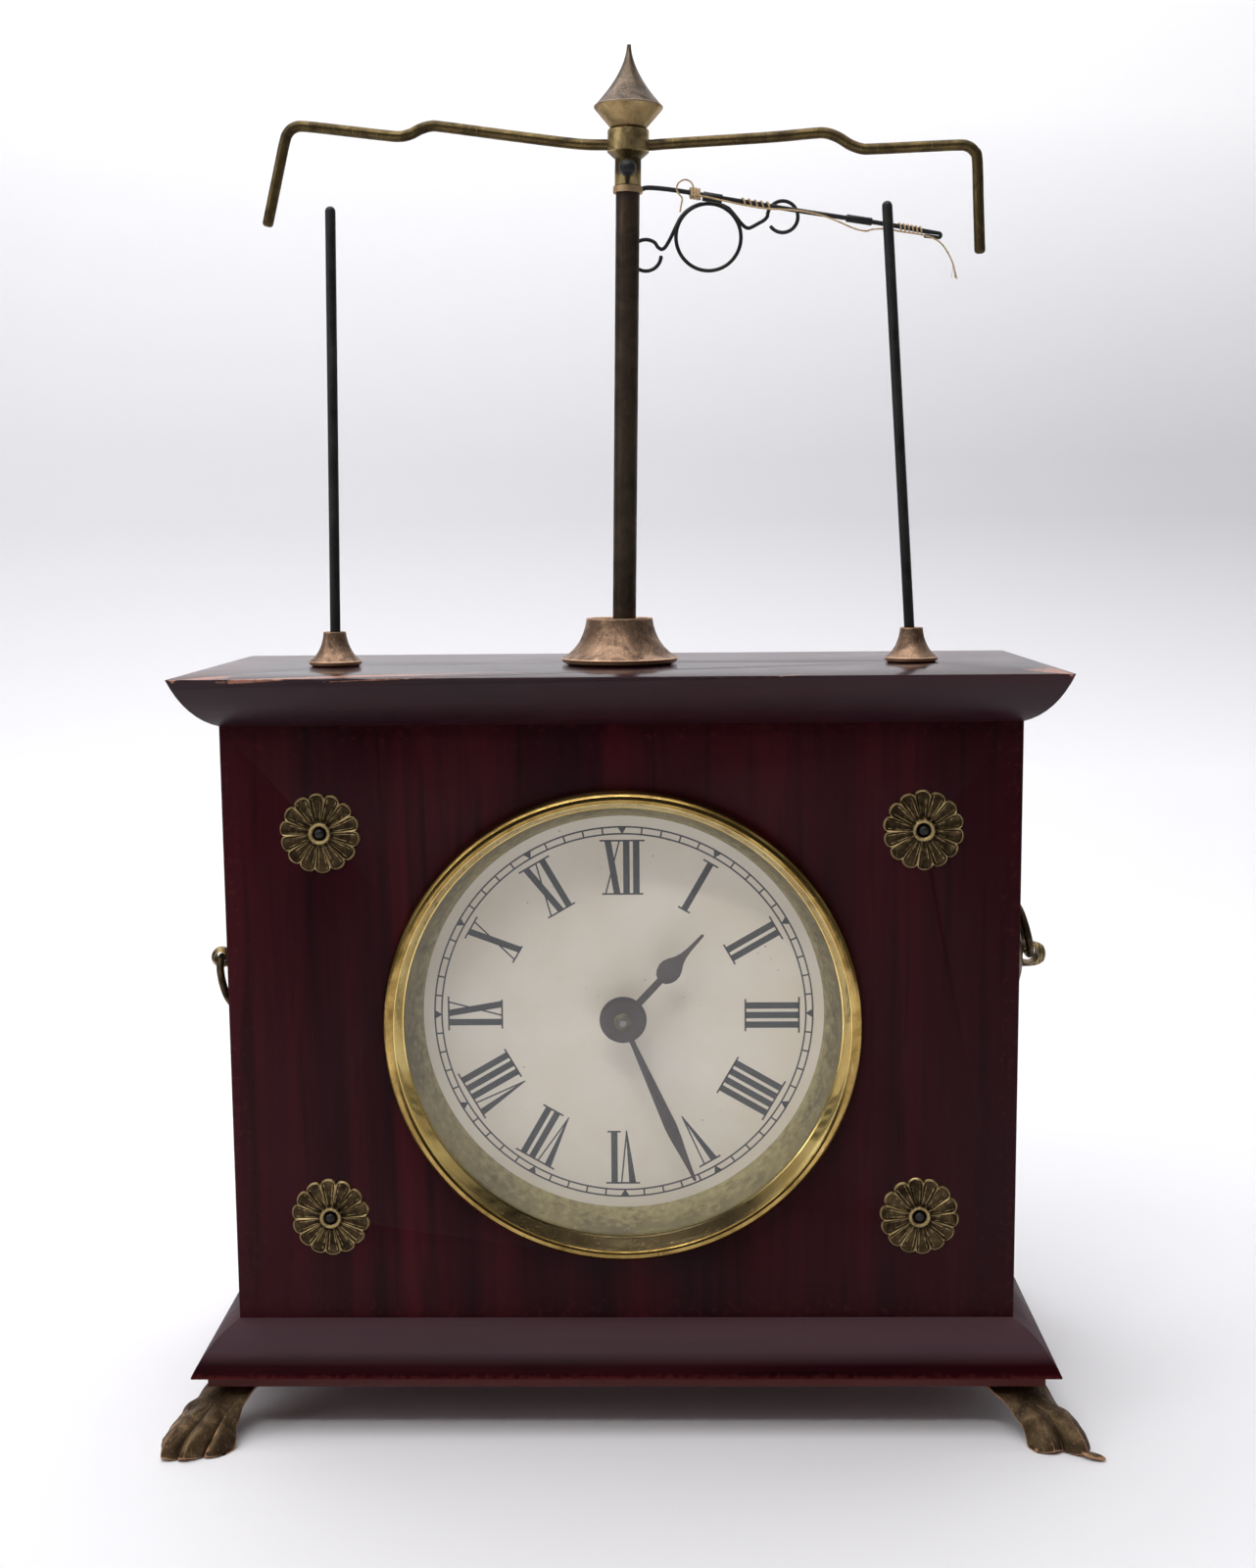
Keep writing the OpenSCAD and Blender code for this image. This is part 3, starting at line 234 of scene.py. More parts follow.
def mahogany(name, look, grain, chips=None, cool=0.0, polished=None, sheenHeights=None):
    # grain stretches the pattern: small along the grain, 1 across it; polished is the height
    # in metres above which the wood is smoother, and the heights given last are where a greyish
    # painted highlight comes in
    made, tree, shader, where = newMaterial(name)
    vector = objectPoint(tree, scale=grain)
    marks = useGroup(tree, woodGrain, {"Vector": vector})
    colour = mixColour(tree, marks["Streak"], look["dark"], look["middle"])
    glow = times(tree, marks["Cloud"], spread(tree, marks["Streak"], 0.2, 0.9))
    colour = mixColour(tree, times(tree, glow, 0.75), colour, look["red"])
    pores = spread(tree, marks["Fine"], 0.0, 0.35, 0.6, 1.0)
    colour = mixColour(tree, 1.0, colour, pores, "MULTIPLY")
    if cool:
        colour = mixColour(tree, cool, colour, srgb(34, 22, 32))
    height = heightOf(tree, where)
    # Painted highlight: the upper part turns a greyish pink, standing in for the sheen on the cove
    if sheenHeights:
        low, high, full = sheenHeights
        sheenMask = times(tree, spread(tree, height, low, high, 0, full),
                     spread(tree, noiseAt(tree, vector, 40, 4), 0.3, 0.7, 0.6, 1.0))
        colour = mixColour(tree, sheenMask, colour, look["sheenColour"])
    rubbed = useGroup(tree, wornEdge, {"Edge": meshValue(tree, "edge"), "Vector": where,
                                       "Amount": 0.32})["Mask"]
    colour = mixColour(tree, times(tree, rubbed, 0.35), colour, srgb(110, 48, 44))
    if chips:
        rag = times(tree, noiseAt(tree, where, 900, 3), 0.6)
        raw = spread(tree, maths(tree, "ADD", meshValue(tree, "chip"), rag), 0.92, 1.0)
        rawShade = mixColour(tree, noiseAt(tree, vector, 300, 3), srgb(120, 72, 58), look["raw"])
        colour = mixColour(tree, raw, colour, rawShade)
    roughness = spread(tree, noiseAt(tree, where, 60, 4), 0.3, 0.7,
                       look["roughness"] - 0.06, look["roughness"] + 0.1)
    if polished:
        roughness = times(tree, roughness, spread(tree, height, polished - 0.0004,
                                                  polished - 0.0001, 1.0, 0.45))
    setInputs(tree, shader, {"Base Color": colour, "Roughness": roughness,
                             "Specular IOR Level": look["gloss"]})
    relief = maths(tree, "ADD", times(tree, marks["Fine"], 0.6),
                   times(tree, noiseAt(tree, where, 90, 2), 0.8))
    addBump(tree, shader, relief, 0.12, 0.0003)
    return made


# Colour that the brass darkens to in its hollows
hollowDark = srgb(24, 18, 12)


def brass(name, dark, light, bright, size=1.0, roughness=(0.32, 0.55), metal=1.0,
          worn=0.45, scratched=0.5, bumpy=0.15, below=None, paintedInner=None):
    # below is a height in metres under which another colour comes in; the next argument gives a
    # distance from the dial's axis inside which a lighter painted reflection comes in, with a
    # darker painted shade for its lowest part
    made, tree, shader, where = newMaterial(name)
    marks = useGroup(tree, tarnish, {"Vector": where, "Size": size})
    colour = mixColour(tree, marks["Cloud"], dark, light)
    colour = mixColour(tree, times(tree, marks["Speck"], 0.6), colour, dark)
    if below:
        here = spread(tree, heightOf(tree, where), below[0] - 0.0002, below[0] + 0.0002, 1.0, 0.0)
        colour = mixColour(tree, here, colour, mixColour(tree, marks["Cloud"], *below[1:]))
    # Painted reflection inside the given distance from the dial's axis, and painted shade at its
    # lowest part
    if paintedInner:
        flat = addNode(tree, "Mapping", {"Vector": where, "Location": (0, 0, -dialCentre * 0.001),
                                         "Scale": (1, 0, 1)}).outputs[0]
        away = addNode(tree, "VectorMath", {0: flat}, operation="LENGTH").outputs["Value"]
        here = spread(tree, away, paintedInner[0] - 0.0001, paintedInner[0] + 0.0001, 1.0, 0.0)
        inside = mixColour(tree, marks["Cloud"], *paintedInner[1:3])
        shadedLowest = spread(tree, heightOf(tree, where), 0.045, 0.062, 1.0, 0.0)
        inside = mixColour(tree, shadedLowest, inside, paintedInner[3])
        colour = mixColour(tree, here, colour, inside)
    mask = useGroup(tree, wornEdge, {"Edge": meshValue(tree, "edge"), "Vector": where,
                                     "Amount": worn})["Mask"]
    rubbed = maths(tree, "ADD", mask, times(tree, marks["Scratch"], scratched), True)
    colour = mixColour(tree, rubbed, colour, bright)
    # Darker in the hollows, by how deep each point lies between its neighbours
    colour = mixColour(tree, times(tree, meshValue(tree, "hollow"), 0.8), colour, hollowDark)
    shine = maths(tree, "MAXIMUM", maths(tree, "SUBTRACT", 1.0, marks["Cloud"]),
                  times(tree, marks["Speck"], 0.9))
    setInputs(tree, shader, {"Base Color": colour, "Metallic": metal,
                             "Roughness": spread(tree, shine, 0, 1, *roughness)})
    height = maths(tree, "SUBTRACT", marks["Cloud"], times(tree, marks["Scratch"], 0.5))
    addBump(tree, shader, height, bumpy, 0.0003)
    return made


def paintedSteel(name, dark, light, rust, roughness=(0.35, 0.6), metal=0.4):
    made, tree, shader, where = newMaterial(name)
    marks = useGroup(tree, tarnish, {"Vector": where})
    colour = mixColour(tree, marks["Cloud"], dark, light)
    colour = mixColour(tree, times(tree, marks["Speck"], 0.5), colour, rust)
    setInputs(tree, shader, {"Base Color": colour, "Metallic": metal,
                             "Roughness": spread(tree, marks["Cloud"], 0, 1, *roughness)})
    addBump(tree, shader, marks["Cloud"], 0.1, 0.0002)
    return made


acrossCase = (0.05, 1, 1)
upCase = (1, 1, 0.045)
panelWood = mahogany("panelWood", {**woodLook, "gloss": 0.1}, upCase)
# The base board's upper part gets a greyish painted highlight
boardWood = mahogany("boardWood", {**woodLook, "dark": srgb(24, 2, 6), "gloss": 0.03}, acrossCase,
                     sheenHeights=(0.0152, 0.0176, 0.6))
capWood = mahogany("capWood", {**woodLook, "gloss": 0.25}, acrossCase, chips=True, cool=0.3,
                   polished=0.1565)
redWood = mahogany("redWood", {**woodLook, "dark": srgb(48, 14, 12), "middle": srgb(84, 28, 22),
                   "red": srgb(112, 40, 30), "roughness": 0.6}, acrossCase)
doorWood = mahogany("doorWood", {**woodLook, "dark": srgb(30, 12, 12), "middle": srgb(52, 20, 18),
                    "red": srgb(80, 28, 22), "roughness": 0.55}, upCase)

oldBrass = brass("oldBrass", srgb(46, 37, 27), srgb(88, 72, 50), srgb(170, 148, 104),
                 size=2.0, roughness=(0.34, 0.58), worn=0.55, scratched=0.25)
brownBrass = brass("brownBrass", srgb(94, 74, 60), srgb(158, 128, 104), srgb(206, 168, 136),
                   size=2.2, roughness=(0.36, 0.62), metal=0.85, worn=0.4, scratched=0.7)
mastBrass = brass("mastBrass", srgb(104, 86, 72), srgb(152, 128, 106), srgb(184, 154, 118),
                  size=1.2, roughness=(0.4, 0.6), metal=0.8, worn=0.3, scratched=0.35)
finialBrass = brass("finialBrass", srgb(62, 53, 45), srgb(108, 94, 80), srgb(160, 138, 112),
                    size=1.6, roughness=(0.36, 0.58), metal=0.9, worn=0.3, scratched=0.5,
                    below=(0.2723, srgb(128, 108, 74), srgb(186, 160, 112)))
nutBrass = brass("nutBrass", srgb(84, 78, 64), srgb(122, 116, 98), srgb(150, 142, 116),
                 size=3.0, roughness=(0.4, 0.6), metal=0.7, worn=0.3, scratched=0.2)
rodBrass = brass("rodBrass", srgb(60, 50, 36), srgb(106, 90, 58), srgb(160, 140, 90),
                 size=1.4, roughness=(0.34, 0.56), worn=0.3, scratched=0.3)
hubBrass = brass("hubBrass", srgb(62, 52, 34), srgb(112, 95, 63), srgb(176, 154, 108),
                 size=2.0, roughness=(0.3, 0.5), worn=0.45, scratched=0.35)
footBrass = brass("footBrass", srgb(62, 48, 34), srgb(104, 84, 58), srgb(176, 136, 104),
                  size=1.6, roughness=(0.42, 0.68), metal=0.8, worn=0.35, scratched=0.5, bumpy=0.35)
# The bezel's inner slope gets a lighter painted reflection, darkened at the bottom as painted shade
goldBrass = brass("goldBrass", srgb(128, 102, 54), srgb(196, 164, 98), srgb(240, 220, 164),
                  size=0.9, roughness=(0.1, 0.26), worn=0.35, scratched=0.2, bumpy=0.06,
                  paintedInner=(0.04648, srgb(232, 198, 118), srgb(255, 234, 160),
                          srgb(86, 74, 50)))
ringBrass = brass("ringBrass", srgb(109, 97, 57), srgb(151, 138, 88), srgb(174, 162, 114),
                  size=0.5, roughness=(0.5, 0.68), metal=0.75, worn=0.1, scratched=0.25)
workBrass = brass("workBrass", srgb(150, 118, 58), srgb(190, 154, 84), srgb(220, 190, 120),
                  size=1.0, roughness=(0.26, 0.42), worn=0.3, scratched=0.3)
blackSteel = paintedSteel("blackSteel", srgb(17, 17, 18), srgb(36, 36, 37), srgb(60, 48, 38))
handSteel = paintedSteel("handSteel", srgb(62, 54, 52), srgb(84, 76, 74), srgb(46, 38, 34),
                         roughness=(0.45, 0.62), metal=0.3)
bareSteel = paintedSteel("bareSteel", srgb(122, 122, 120), srgb(168, 168, 166), srgb(90, 76, 60),
                         roughness=(0.26, 0.42), metal=1.0)


def dialPaint(name):
    made, tree, shader, where = newMaterial(name)
    cloud = spread(tree, noiseAt(tree, where, 45, 4), 0.35, 0.65)
    colour = mixColour(tree, cloud, srgb(229, 219, 201), srgb(237, 230, 217))
    dots = addNode(tree, "TexVoronoi", {"Vector": where, "Scale": 420}).outputs["Distance"]
    rare = noiseAt(tree, where, 130, 2)
    spots = times(tree, spread(tree, dots, 0.11, 0.05), spread(tree, rare, 0.58, 0.64))
    colour = mixColour(tree, times(tree, spots, 0.7), colour, srgb(120, 106, 84))
    # Only the face is painted: behind it the plate is bare
    depth = addNode(tree, "SeparateXYZ", {0: where}).outputs["Y"]
    colour = mixColour(tree, spread(tree, depth, -0.0203, -0.02), colour, srgb(112, 104, 88))
    setInputs(tree, shader, {"Base Color": colour, "Roughness": 0.6, "Specular IOR Level": 0.3})
    return made


def printInk(name):
    made, tree, shader, where = newMaterial(name)
    wear = spread(tree, noiseAt(tree, where, 1400, 3), 0.64, 0.74)
    colour = mixColour(tree, wear, srgb(58, 60, 62), srgb(112, 104, 96))
    setInputs(tree, shader, {"Base Color": colour, "Roughness": 0.55})
    return made


def clearGlass(name):
    made, tree, shader, where = newMaterial(name)
    smear = spread(tree, noiseAt(tree, where, 50, 3), 0.45, 0.75, 0.0, 0.06)
    setInputs(tree, shader, {"Base Color": (1, 1, 1, 1), "Transmission Weight": 1, "IOR": 1.45,
                             "Roughness": smear})
    # Light passes the pane as it does a thin sheet, so that the dial isn't shaded by it
    path = addNode(tree, "LightPath").outputs
    passing = maths(tree, "MAXIMUM", path["Is Shadow Ray"], path["Is Diffuse Ray"])
    clear = addNode(tree, "BsdfTransparent")
    both = addNode(tree, "MixShader", {0: passing, 1: shader.outputs[0], 2: clear.outputs[0]})
    tree.links.new(both.outputs[0], tree.nodes["Material Output"].inputs["Surface"])
    return made


def threadFibre(name):
    made, tree, shader, where = newMaterial(name)
    twist = noiseAt(tree, where, 2600, 2)
    shade = spread(tree, twist, 0.3, 0.7)
    colour = mixColour(tree, shade, srgb(150, 118, 78), srgb(214, 186, 140))
    setInputs(tree, shader, {"Base Color": colour, "Roughness": 0.85, "Sheen Weight": 0.3})
    addBump(tree, shader, twist, 0.3, 0.0001)
    return made


dialWhite = dialPaint("dialWhite")
dialInk = printInk("dialInk")
glassClear = clearGlass("glassClear")
threadTan = threadFibre("threadTan")
print("materials made")


# ---- mesh helpers ----
def markEdges(mesh, strength=1.0):
    # How far each point stands out from its neighbours, kept for the worn edges,
    # and how deep it lies between them, kept for darkening the hollows
    bm = bmesh.new()
    bm.from_mesh(mesh)
    layer = bm.verts.layers.float.new("edge")
    hollow = bm.verts.layers.float.new("hollow")
    for vert in bm.verts:
        total = 0.0
        for link in vert.link_edges:
            if len(link.link_faces) == 2:
                total += link.calc_face_angle_signed(0.0)
        vert[layer] = max(0.0, min(1.0, total * strength))
        vert[hollow] = max(0.0, min(1.0, -total * strength))
    bm.to_mesh(mesh)
    bm.free()


def finishMesh(name, bm, material):
    for face in bm.faces:
        face.smooth = True
    mesh = bpy.data.meshes.new(name)
    bm.to_mesh(mesh)
    bm.free()
    mesh.materials.append(material)
    return mesh


def addPiece(name, bm, body, material, stands=(), smooth=35, edges=1.0, frameOf=None):
    if frameOf is not None:
        bmesh.ops.transform(bm, matrix=millimetre @ frameOf, verts=bm.verts)
    for edge in bm.edges:
        if len(edge.link_faces) == 2:
            edge.smooth = edge.calc_face_angle(0.0) < math.radians(smooth)
    mesh = finishMesh(name, bm, material)
    if edges:
        markEdges(mesh, edges)
    piece = addObject(name, mesh)
    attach(piece, body)
    if stands:
        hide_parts(*stands)
    return piece


def tidyShape(bm, join=0.002):
    bmesh.ops.remove_doubles(bm, verts=bm.verts, dist=join)
    bmesh.ops.recalc_face_normals(bm, faces=bm.faces)


def spinProfile(bm, profile, steps=96, closed=False):
    line = [bm.verts.new((r, 0, h)) for r, h in profile]
    pairs = list(zip(line, line[1:] + line[:1])) if closed else list(zip(line, line[1:]))
    drawn = [bm.edges.new(pair) for pair in pairs]
    bmesh.ops.spin(bm, geom=line + drawn, cent=(0, 0, 0), axis=(0, 0, 1), dvec=(0, 0, 0),
                   angle=2 * math.pi, steps=steps, use_merge=True)
    tidyShape(bm)


def lathePiece(name, profile, frameOf, body, material, stands=(), steps=96, closed=True,
               edges=0.6, smooth=40):
    bm = bmesh.new()
    spinProfile(bm, profile, steps, closed)
    addPiece(name, bm, body, material, stands, smooth, edges, frameOf)


def moveGrown(bm, grown, way):
    # What an extrusion has grown is moved away from where it grew
    bmesh.ops.translate(bm, vec=way,
                        verts=[v for v in grown["geom"] if isinstance(v, bmesh.types.BMVert)])
    bmesh.ops.recalc_face_normals(bm, faces=bm.faces)


def thicken(bm, height):
    # The flat faces drawn so far become plates as thick as height
    moveGrown(bm, bmesh.ops.extrude_face_region(bm, geom=bm.faces[:]), (0, 0, height))


def closeSheet(bm, join, thickness):
    # A pressed sheet faces up and gets its thickness below
    tidyShape(bm, join)
    if sum(face.normal.z for face in bm.faces) < 0:
        bmesh.ops.reverse_faces(bm, faces=bm.faces)
    bmesh.ops.solidify(bm, geom=bm.faces[:], thickness=thickness)


def arcPoints(at, radius, start, end, step):
    # Angles in degrees
    count = int(abs(end - start) / step) + 1
    sign = 1 if end > start else -1
    return [(at[0] + radius * math.cos(math.radians(start + sign * step * k)),
             at[1] + radius * math.sin(math.radians(start + sign * step * k)))
            for k in range(count)]


def valueAt(points, x):
    for (x0, y0), (x1, y1) in zip(points, points[1:]):
        if x <= x1:
            return y0 + (y1 - y0) * (x - x0) / (x1 - x0)
    return points[-1][1]


def roundCorners(points, cut, closed=False, steps=3):
    # Each inner corner of a profile becomes a short curve
    rounded = []
    count = len(points)
    for i, point in enumerate(points):
        if not closed and i in (0, count - 1):
            rounded.append(point)
            continue
        here, before, after = Vector(point), Vector(points[i - 1]), Vector(points[(i + 1) % count])
        reach = min(cut, 0.45 * (before - here).length, 0.45 * (after - here).length)
        first = here + (before - here).normalized() * reach
        last = here + (after - here).normalized() * reach
        for k in range(steps + 1):
            t = k / steps
            rounded.append(tuple((1 - t) ** 2 * first + 2 * t * (1 - t) * here + t * t * last))
    return rounded


def bevelSharp(bm, width, angle=30, segments=2, keep=None):
    sharp = [edge for edge in bm.edges if len(edge.link_faces) == 2
             and edge.calc_face_angle(0.0) > math.radians(angle) and (keep is None or keep(edge))]
    bmesh.ops.bevel(bm, geom=sharp, offset=width, offset_type="OFFSET", segments=segments,
                    profile=0.5, affect="EDGES", clamp_overlap=True, material=-1)


def copyNode(node):
    bm = bmesh.new()
    bm.from_mesh(cadNodes[node].data)
    bmesh.ops.remove_doubles(bm, verts=bm.verts, dist=0.000002)
    bmesh.ops.dissolve_limit(bm, angle_limit=math.radians(1), verts=bm.verts, edges=bm.edges)
    return bm


def dressNode(node, name, body, material, bevel=0.0, smooth=35, edges=1.0):
    bm = copyNode(node)
    if bevel:
        bevelSharp(bm, bevel * 0.001)
    addPiece(name, bm, body, material, [node], smooth, edges)


def paintNode(node, material):
    cadNodes[node].data.materials.clear()
    cadNodes[node].data.materials.append(material)


def smoothRoute(points, parts):
    # Points added along a smooth curve through the route's own points
    route = [Vector(point) for point in points]
    made = []
    for i in range(len(route) - 1):
        a, b = route[max(0, i - 1)], route[i]
        c, d = route[i + 1], route[min(len(route) - 1, i + 2)]
        for k in range(parts):
            t = k / parts
            made.append(0.5 * (2 * b + (c - a) * t + (2 * a - 5 * b + 4 * c - d) * t * t
                               + (3 * b - a - 3 * c + d) * t ** 3))
    return made + [route[-1]]


def wireMesh(name, routes, radius, frameOf, sides=4, thin=None, closed=()):
    # Round wire along routes, as a curve turned into a mesh
    data = bpy.data.curves.new(name, "CURVE")
    data.dimensions = "3D"
    data.bevel_depth = radius * 0.001
    data.bevel_resolution = sides
    data.use_fill_caps = True
    for index, route in enumerate(routes):
        line = data.splines.new("POLY")
        line.points.add(len(route) - 1)
        for k, point in enumerate(route):
            where = (millimetre @ frameOf) @ Vector(point)
            line.points[k].co = (*where, 1)
            line.points[k].radius = thin(index, k, len(route)) if thin else 1.0
        line.use_cyclic_u = index in closed
    holder = addObject(name + "Curve", data)
    bpy.context.view_layer.update()
    evaluated = holder.evaluated_get(bpy.context.evaluated_depsgraph_get())
    mesh = bpy.data.meshes.new_from_object(evaluated)
    bpy.data.objects.remove(holder)
    bpy.data.curves.remove(data)
    bm = bmesh.new()
    bm.from_mesh(mesh)
    bpy.data.meshes.remove(mesh)
    bmesh.ops.remove_doubles(bm, verts=bm.verts, dist=0.000001)
    bmesh.ops.recalc_face_normals(bm, faces=bm.faces)
    return bm


def roundedEnds(index, k, count):
    # A wire's radius near its ends, so that they close in a small dome
    fromEnd = min(k, count - 1 - k)
    return (0.55, 0.85, 1.0)[min(fromEnd, 2)]


def domedRoute(route, reach):
    # Two close points at each end carry the dome
    first, last = Vector(route[0]), Vector(route[-1])
    goIn = (Vector(route[1]) - first).normalized()
    goOut = (Vector(route[-2]) - last).normalized()
    return ([first, first + goIn * reach * 0.35, first + goIn * reach] + list(route[1:-1])
            + [last + goOut * reach, last + goOut * reach * 0.35, last])


# ---- thread, the one free cord ----
threadLook = {
    "radius": 0.18,
    "turnRadius": 0.71,    # from the middle of the arm to the middle of the wound thread
    "middleTurns": ((24, 30.5), 5),
    "tipTurns": ((57.5, 62.8), 6),
    "knot": (((13.2, 15.4), 4, 0.96), ((15.3, 13.3), 3, 1.05)),
    "knotThread": 1.5,     # times the thread's radius
    "fibres": 5,
    "fibreRadius": 0.05,
}
# The arm's middle line: along the arm, and up from its top
armLine = [(2.73, 0), (4.4, 0.6), (10.5, 0.12), (20, -1.3), (37, -3.7), (53, -5.8), (64, -7.5)]
threadPoints = [
    (11.1, -0.9, -4.4), (11.3, -0.9, -3), (11.5, -0.9, -1.6), (10.7, -0.9, -0.6),
    (10.3, -0.9, 0.5), (10.8, -0.9, 1.6), (12, -0.9, 2.2), (13.2, -0.9, 1.8),
    (13.8, -0.9, 0.8), (13.8, -0.9, -0.2), (14.6, -1.2, -0.9), (17, -1.5, -1.4),
    (20, -1.4, -2), (24, -1, -2.7), (28, -0.9, -3.3), (31, -0.9, -3.5), (36, -0.9, -3.7),
    (41, -0.9, -4.6), (45, -0.9, -6), (48, -0.9, -7.2), (50.5, -0.9, -7.7), (52, -0.9, -7.3),
    (55, -0.9, -7.2), (58, -0.9, -7.7), (62, -0.9, -8.2), (65, -1, -9), (66.8, -1, -10.2),
    (68.2, -0.8, -12), (69.4, -0.5, -14.2), (70.2, -0.2, -17)]
threadPoints = [(x, y, armTop + z) for x, y, z in threadPoints]


def windingRoute(ends, turns, radius, seed):
    rng = random.Random(seed)
    steps = 20             # per turn
    route = []
    for i in range(steps * turns + 1):
        x = ends[0] + (ends[1] - ends[0]) * i / steps / turns
        turn = math.radians(360 / steps * i)
        route.append((x + rng.uniform(-0.01, 0.01), radius * math.cos(turn),
                      armTop + valueAt(armLine, x) + radius * math.sin(turn)))
    return route


def makeThread(look):
    route = smoothRoute(threadPoints, 4)
    bm = wireMesh("thread", [route], look["radius"], armFrame, sides=3)
    piece = addPiece("threadLine", bm, "flyer", threadTan, ["thread"], edges=0)
    path = [(millimetre @ armFrame) @ point for point in smoothRoute(threadPoints, 2)]
    length = sum((b - a).length for a, b in zip(path, path[1:]))
    windings = [windingRoute(*look[key], look["turnRadius"], seed)
                for key, seed in (("middleTurns", 3), ("tipTurns", 4))]
    wound = wireMesh("windings", windings, look["radius"], armFrame, sides=2)
    turns = addPiece("threadTurns", wound, "flyer", threadTan,
                     ["thread_windings"], edges=0)
    knots = [windingRoute(*knot, seed) for seed, knot in enumerate(look["knot"], 5)]
    knot = wireMesh("knot", knots, look["radius"] * look["knotThread"], armFrame, sides=2)
    knotPiece = addPiece("threadKnot", knot, "flyer", threadTan, edges=0)
    rng = random.Random(11)
    fibres = []
    for i in range(look["fibres"]):
        shift = Vector((rng.uniform(-0.1, 0.1), rng.uniform(-0.1, 0.1), 0))
        start = Vector(threadPoints[-2]) + shift
        fall = Vector((rng.uniform(0.1, 0.9), rng.uniform(-0.8, 0.8), rng.uniform(-2.6, -3.4)))
        side = Vector((rng.uniform(-0.5, 0.5), rng.uniform(-0.5, 0.5), 0))
        fibres.append([start + fall * t + side * t * t for t in (0, 0.25, 0.5, 0.75, 1)])
    frayed = wireMesh("fibres", fibres, look["fibreRadius"], armFrame, sides=1)
    fringe = addPiece("threadFibres", frayed, "flyer", threadTan, edges=0)
    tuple(path[0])


makeThread(threadLook)
print("thread made")


# ---- wooden case ----
caseLook = {
    "edge": 0.35,          # rounding of the wooden edges, in millimetres
    "chipCuts": 220,
    "chipDepth": 0.55,
    "chipBand": 1.2,       # how far from the top front edge the chips reach
    "chipLead": 0.6,       # how far a chip fades out beyond its run
    # Start and end of each run along the edge, and how deep it is
    "chipRuns": ((-88.5, -86.5, 1.0), (-78, -66, 0.9), (-62, -57, 0.5), (-50, -40, 0.75),
                 (-36, -34, 0.4), (-28, -26.5, 0.35), (30.6, 32.4, 0.9), (87, 88.8, 0.9),
                 (-84, -79, 0.45), (8, 10, 0.3), (54, 56, 0.25)),
}


def makeCap(look):
    bm = copyNode("cap")
    front = min(vert.co.y for vert in bm.verts)
    top = max(vert.co.z for vert in bm.verts)

    def onFrontTop(vert):
        return vert.co.y < front + 0.0001 and vert.co.z > top - 0.0001

    edges = [edge for edge in bm.edges if all(onFrontTop(vert) for vert in edge.verts)]
    bmesh.ops.subdivide_edges(bm, edges=edges, cuts=look["chipCuts"], use_grid_fill=False)
    chip = bm.verts.layers.float.new("chip")
    bevelSharp(bm, look["edge"] * 0.001)
    band, lead = look["chipBand"] * 0.001, look["chipLead"]
    for vert in bm.verts:
        if vert.co.y < front + band and vert.co.z > top - band:
            depth = 0.0
            for start, end, much in look["chipRuns"]:
                x = vert.co.x * 1000
                inside = min(x - start, end - x)
                if inside > -lead:
                    rag = 0.5 + 0.8 * noise.noise((x * 1.7, 3.1, much * 9))
                    depth = max(depth, much * min(1.0, (inside + lead) / (2 * lead)) * rag)
            vert[chip] = min(1.0, depth * 1.5)
            vert.co.y += 0.001 * look["chipDepth"] * depth
            vert.co.z -= 0.0004 * look["chipDepth"] * depth
    addPiece("capBoard", bm, "case", capWood, ["cap"], smooth=32, edges=0.5)


makeCap(caseLook)
dressNode("base", "baseBoard", "case", boardWood, bevel=0.35, smooth=30, edges=0.5)
dressNode("front_panel", "frontPanel", "case", panelWood, bevel=0.25, edges=0.4)
for label in ("Left", "Right"):
    dressNode("side_panel_" + label.lower(), "side" + label, "case", panelWood,
              bevel=0.15, edges=0.4)
dressNode("bottom_board", "bottomBoard", "case", redWood, bevel=0.2, edges=0.6)
dressNode("back_door", "backDoor", "door", doorWood, bevel=0.4, edges=0.4)
dressNode("hinges_fixed", "hingeFixed", "case", oldBrass)
dressNode("hinges_moving", "hingeMoving", "door", oldBrass)
dressNode("door_knob", "doorKnob", "door", hubBrass, smooth=40)
dressNode("foot_screws", "footScrews", "case", mastBrass, bevel=0.15)
print("case made")


# ---- bezel, ring, dial and hands ----
dialLook = {
    "bezel": [(44.9, -1.2), (44.9, -0.95), (45.15, -0.8), (45.2, -0.5), (45.5, 0.55),
              (45.95, 2.1), (46.35, 3.3), (46.5, 3.28), (46.62, 3.5), (47.1, 3.75), (47.85, 3.62),
              (48.4, 3.1), (48.8, 2.3), (48.92, 1.4), (48.8, 0.6), (48.9, 0.35), (48.9, 0.02),
              (46.1, 0.0), (46.1, -3.0), (45.5, -3.0), (45.5, -1.2)],
    "corner": 0.08,        # rounding of the bezel's profile
    "ring": [(45.0, -2.25), (45.4, -2.25), (45.4, -2.9), (42.4, -10.95), (41.95, -10.95)],
    "plate": [(2.6, -11.8), (48.6, -11.8), (48.6, -9.0), (47.6, -9.0), (47.6, -11.0), (2.6, -11.0)],
    "track": (39.6, 38.15),
    "line": 0.34,
    "hourMark": 0.95,      # half the width of the wedge at each hour
    "numeral": (36.7, 25.5),
    "stroke": 1.36,
    "thinStroke": 0.32,
    "serif": 0.36,
    "advance": {"I": 2.05, "V": 3.6, "X": 3.75},
    "foot": {"I": (-1.4, 1.4), "X": (-2.2, 1.9)},
    "overhang": 0.75,      # of the long serif past the letters
    "inkLift": 0.025,
    "inkLevel": -10.998,
    # How far each numeral is printed off its hour, clockwise, from XII on
    "slip": (0, 0, 0.2, 0.4, 0.6, 0.4, 0.4, 0.8, 0.8, 0.2, 0.2, 0),
}


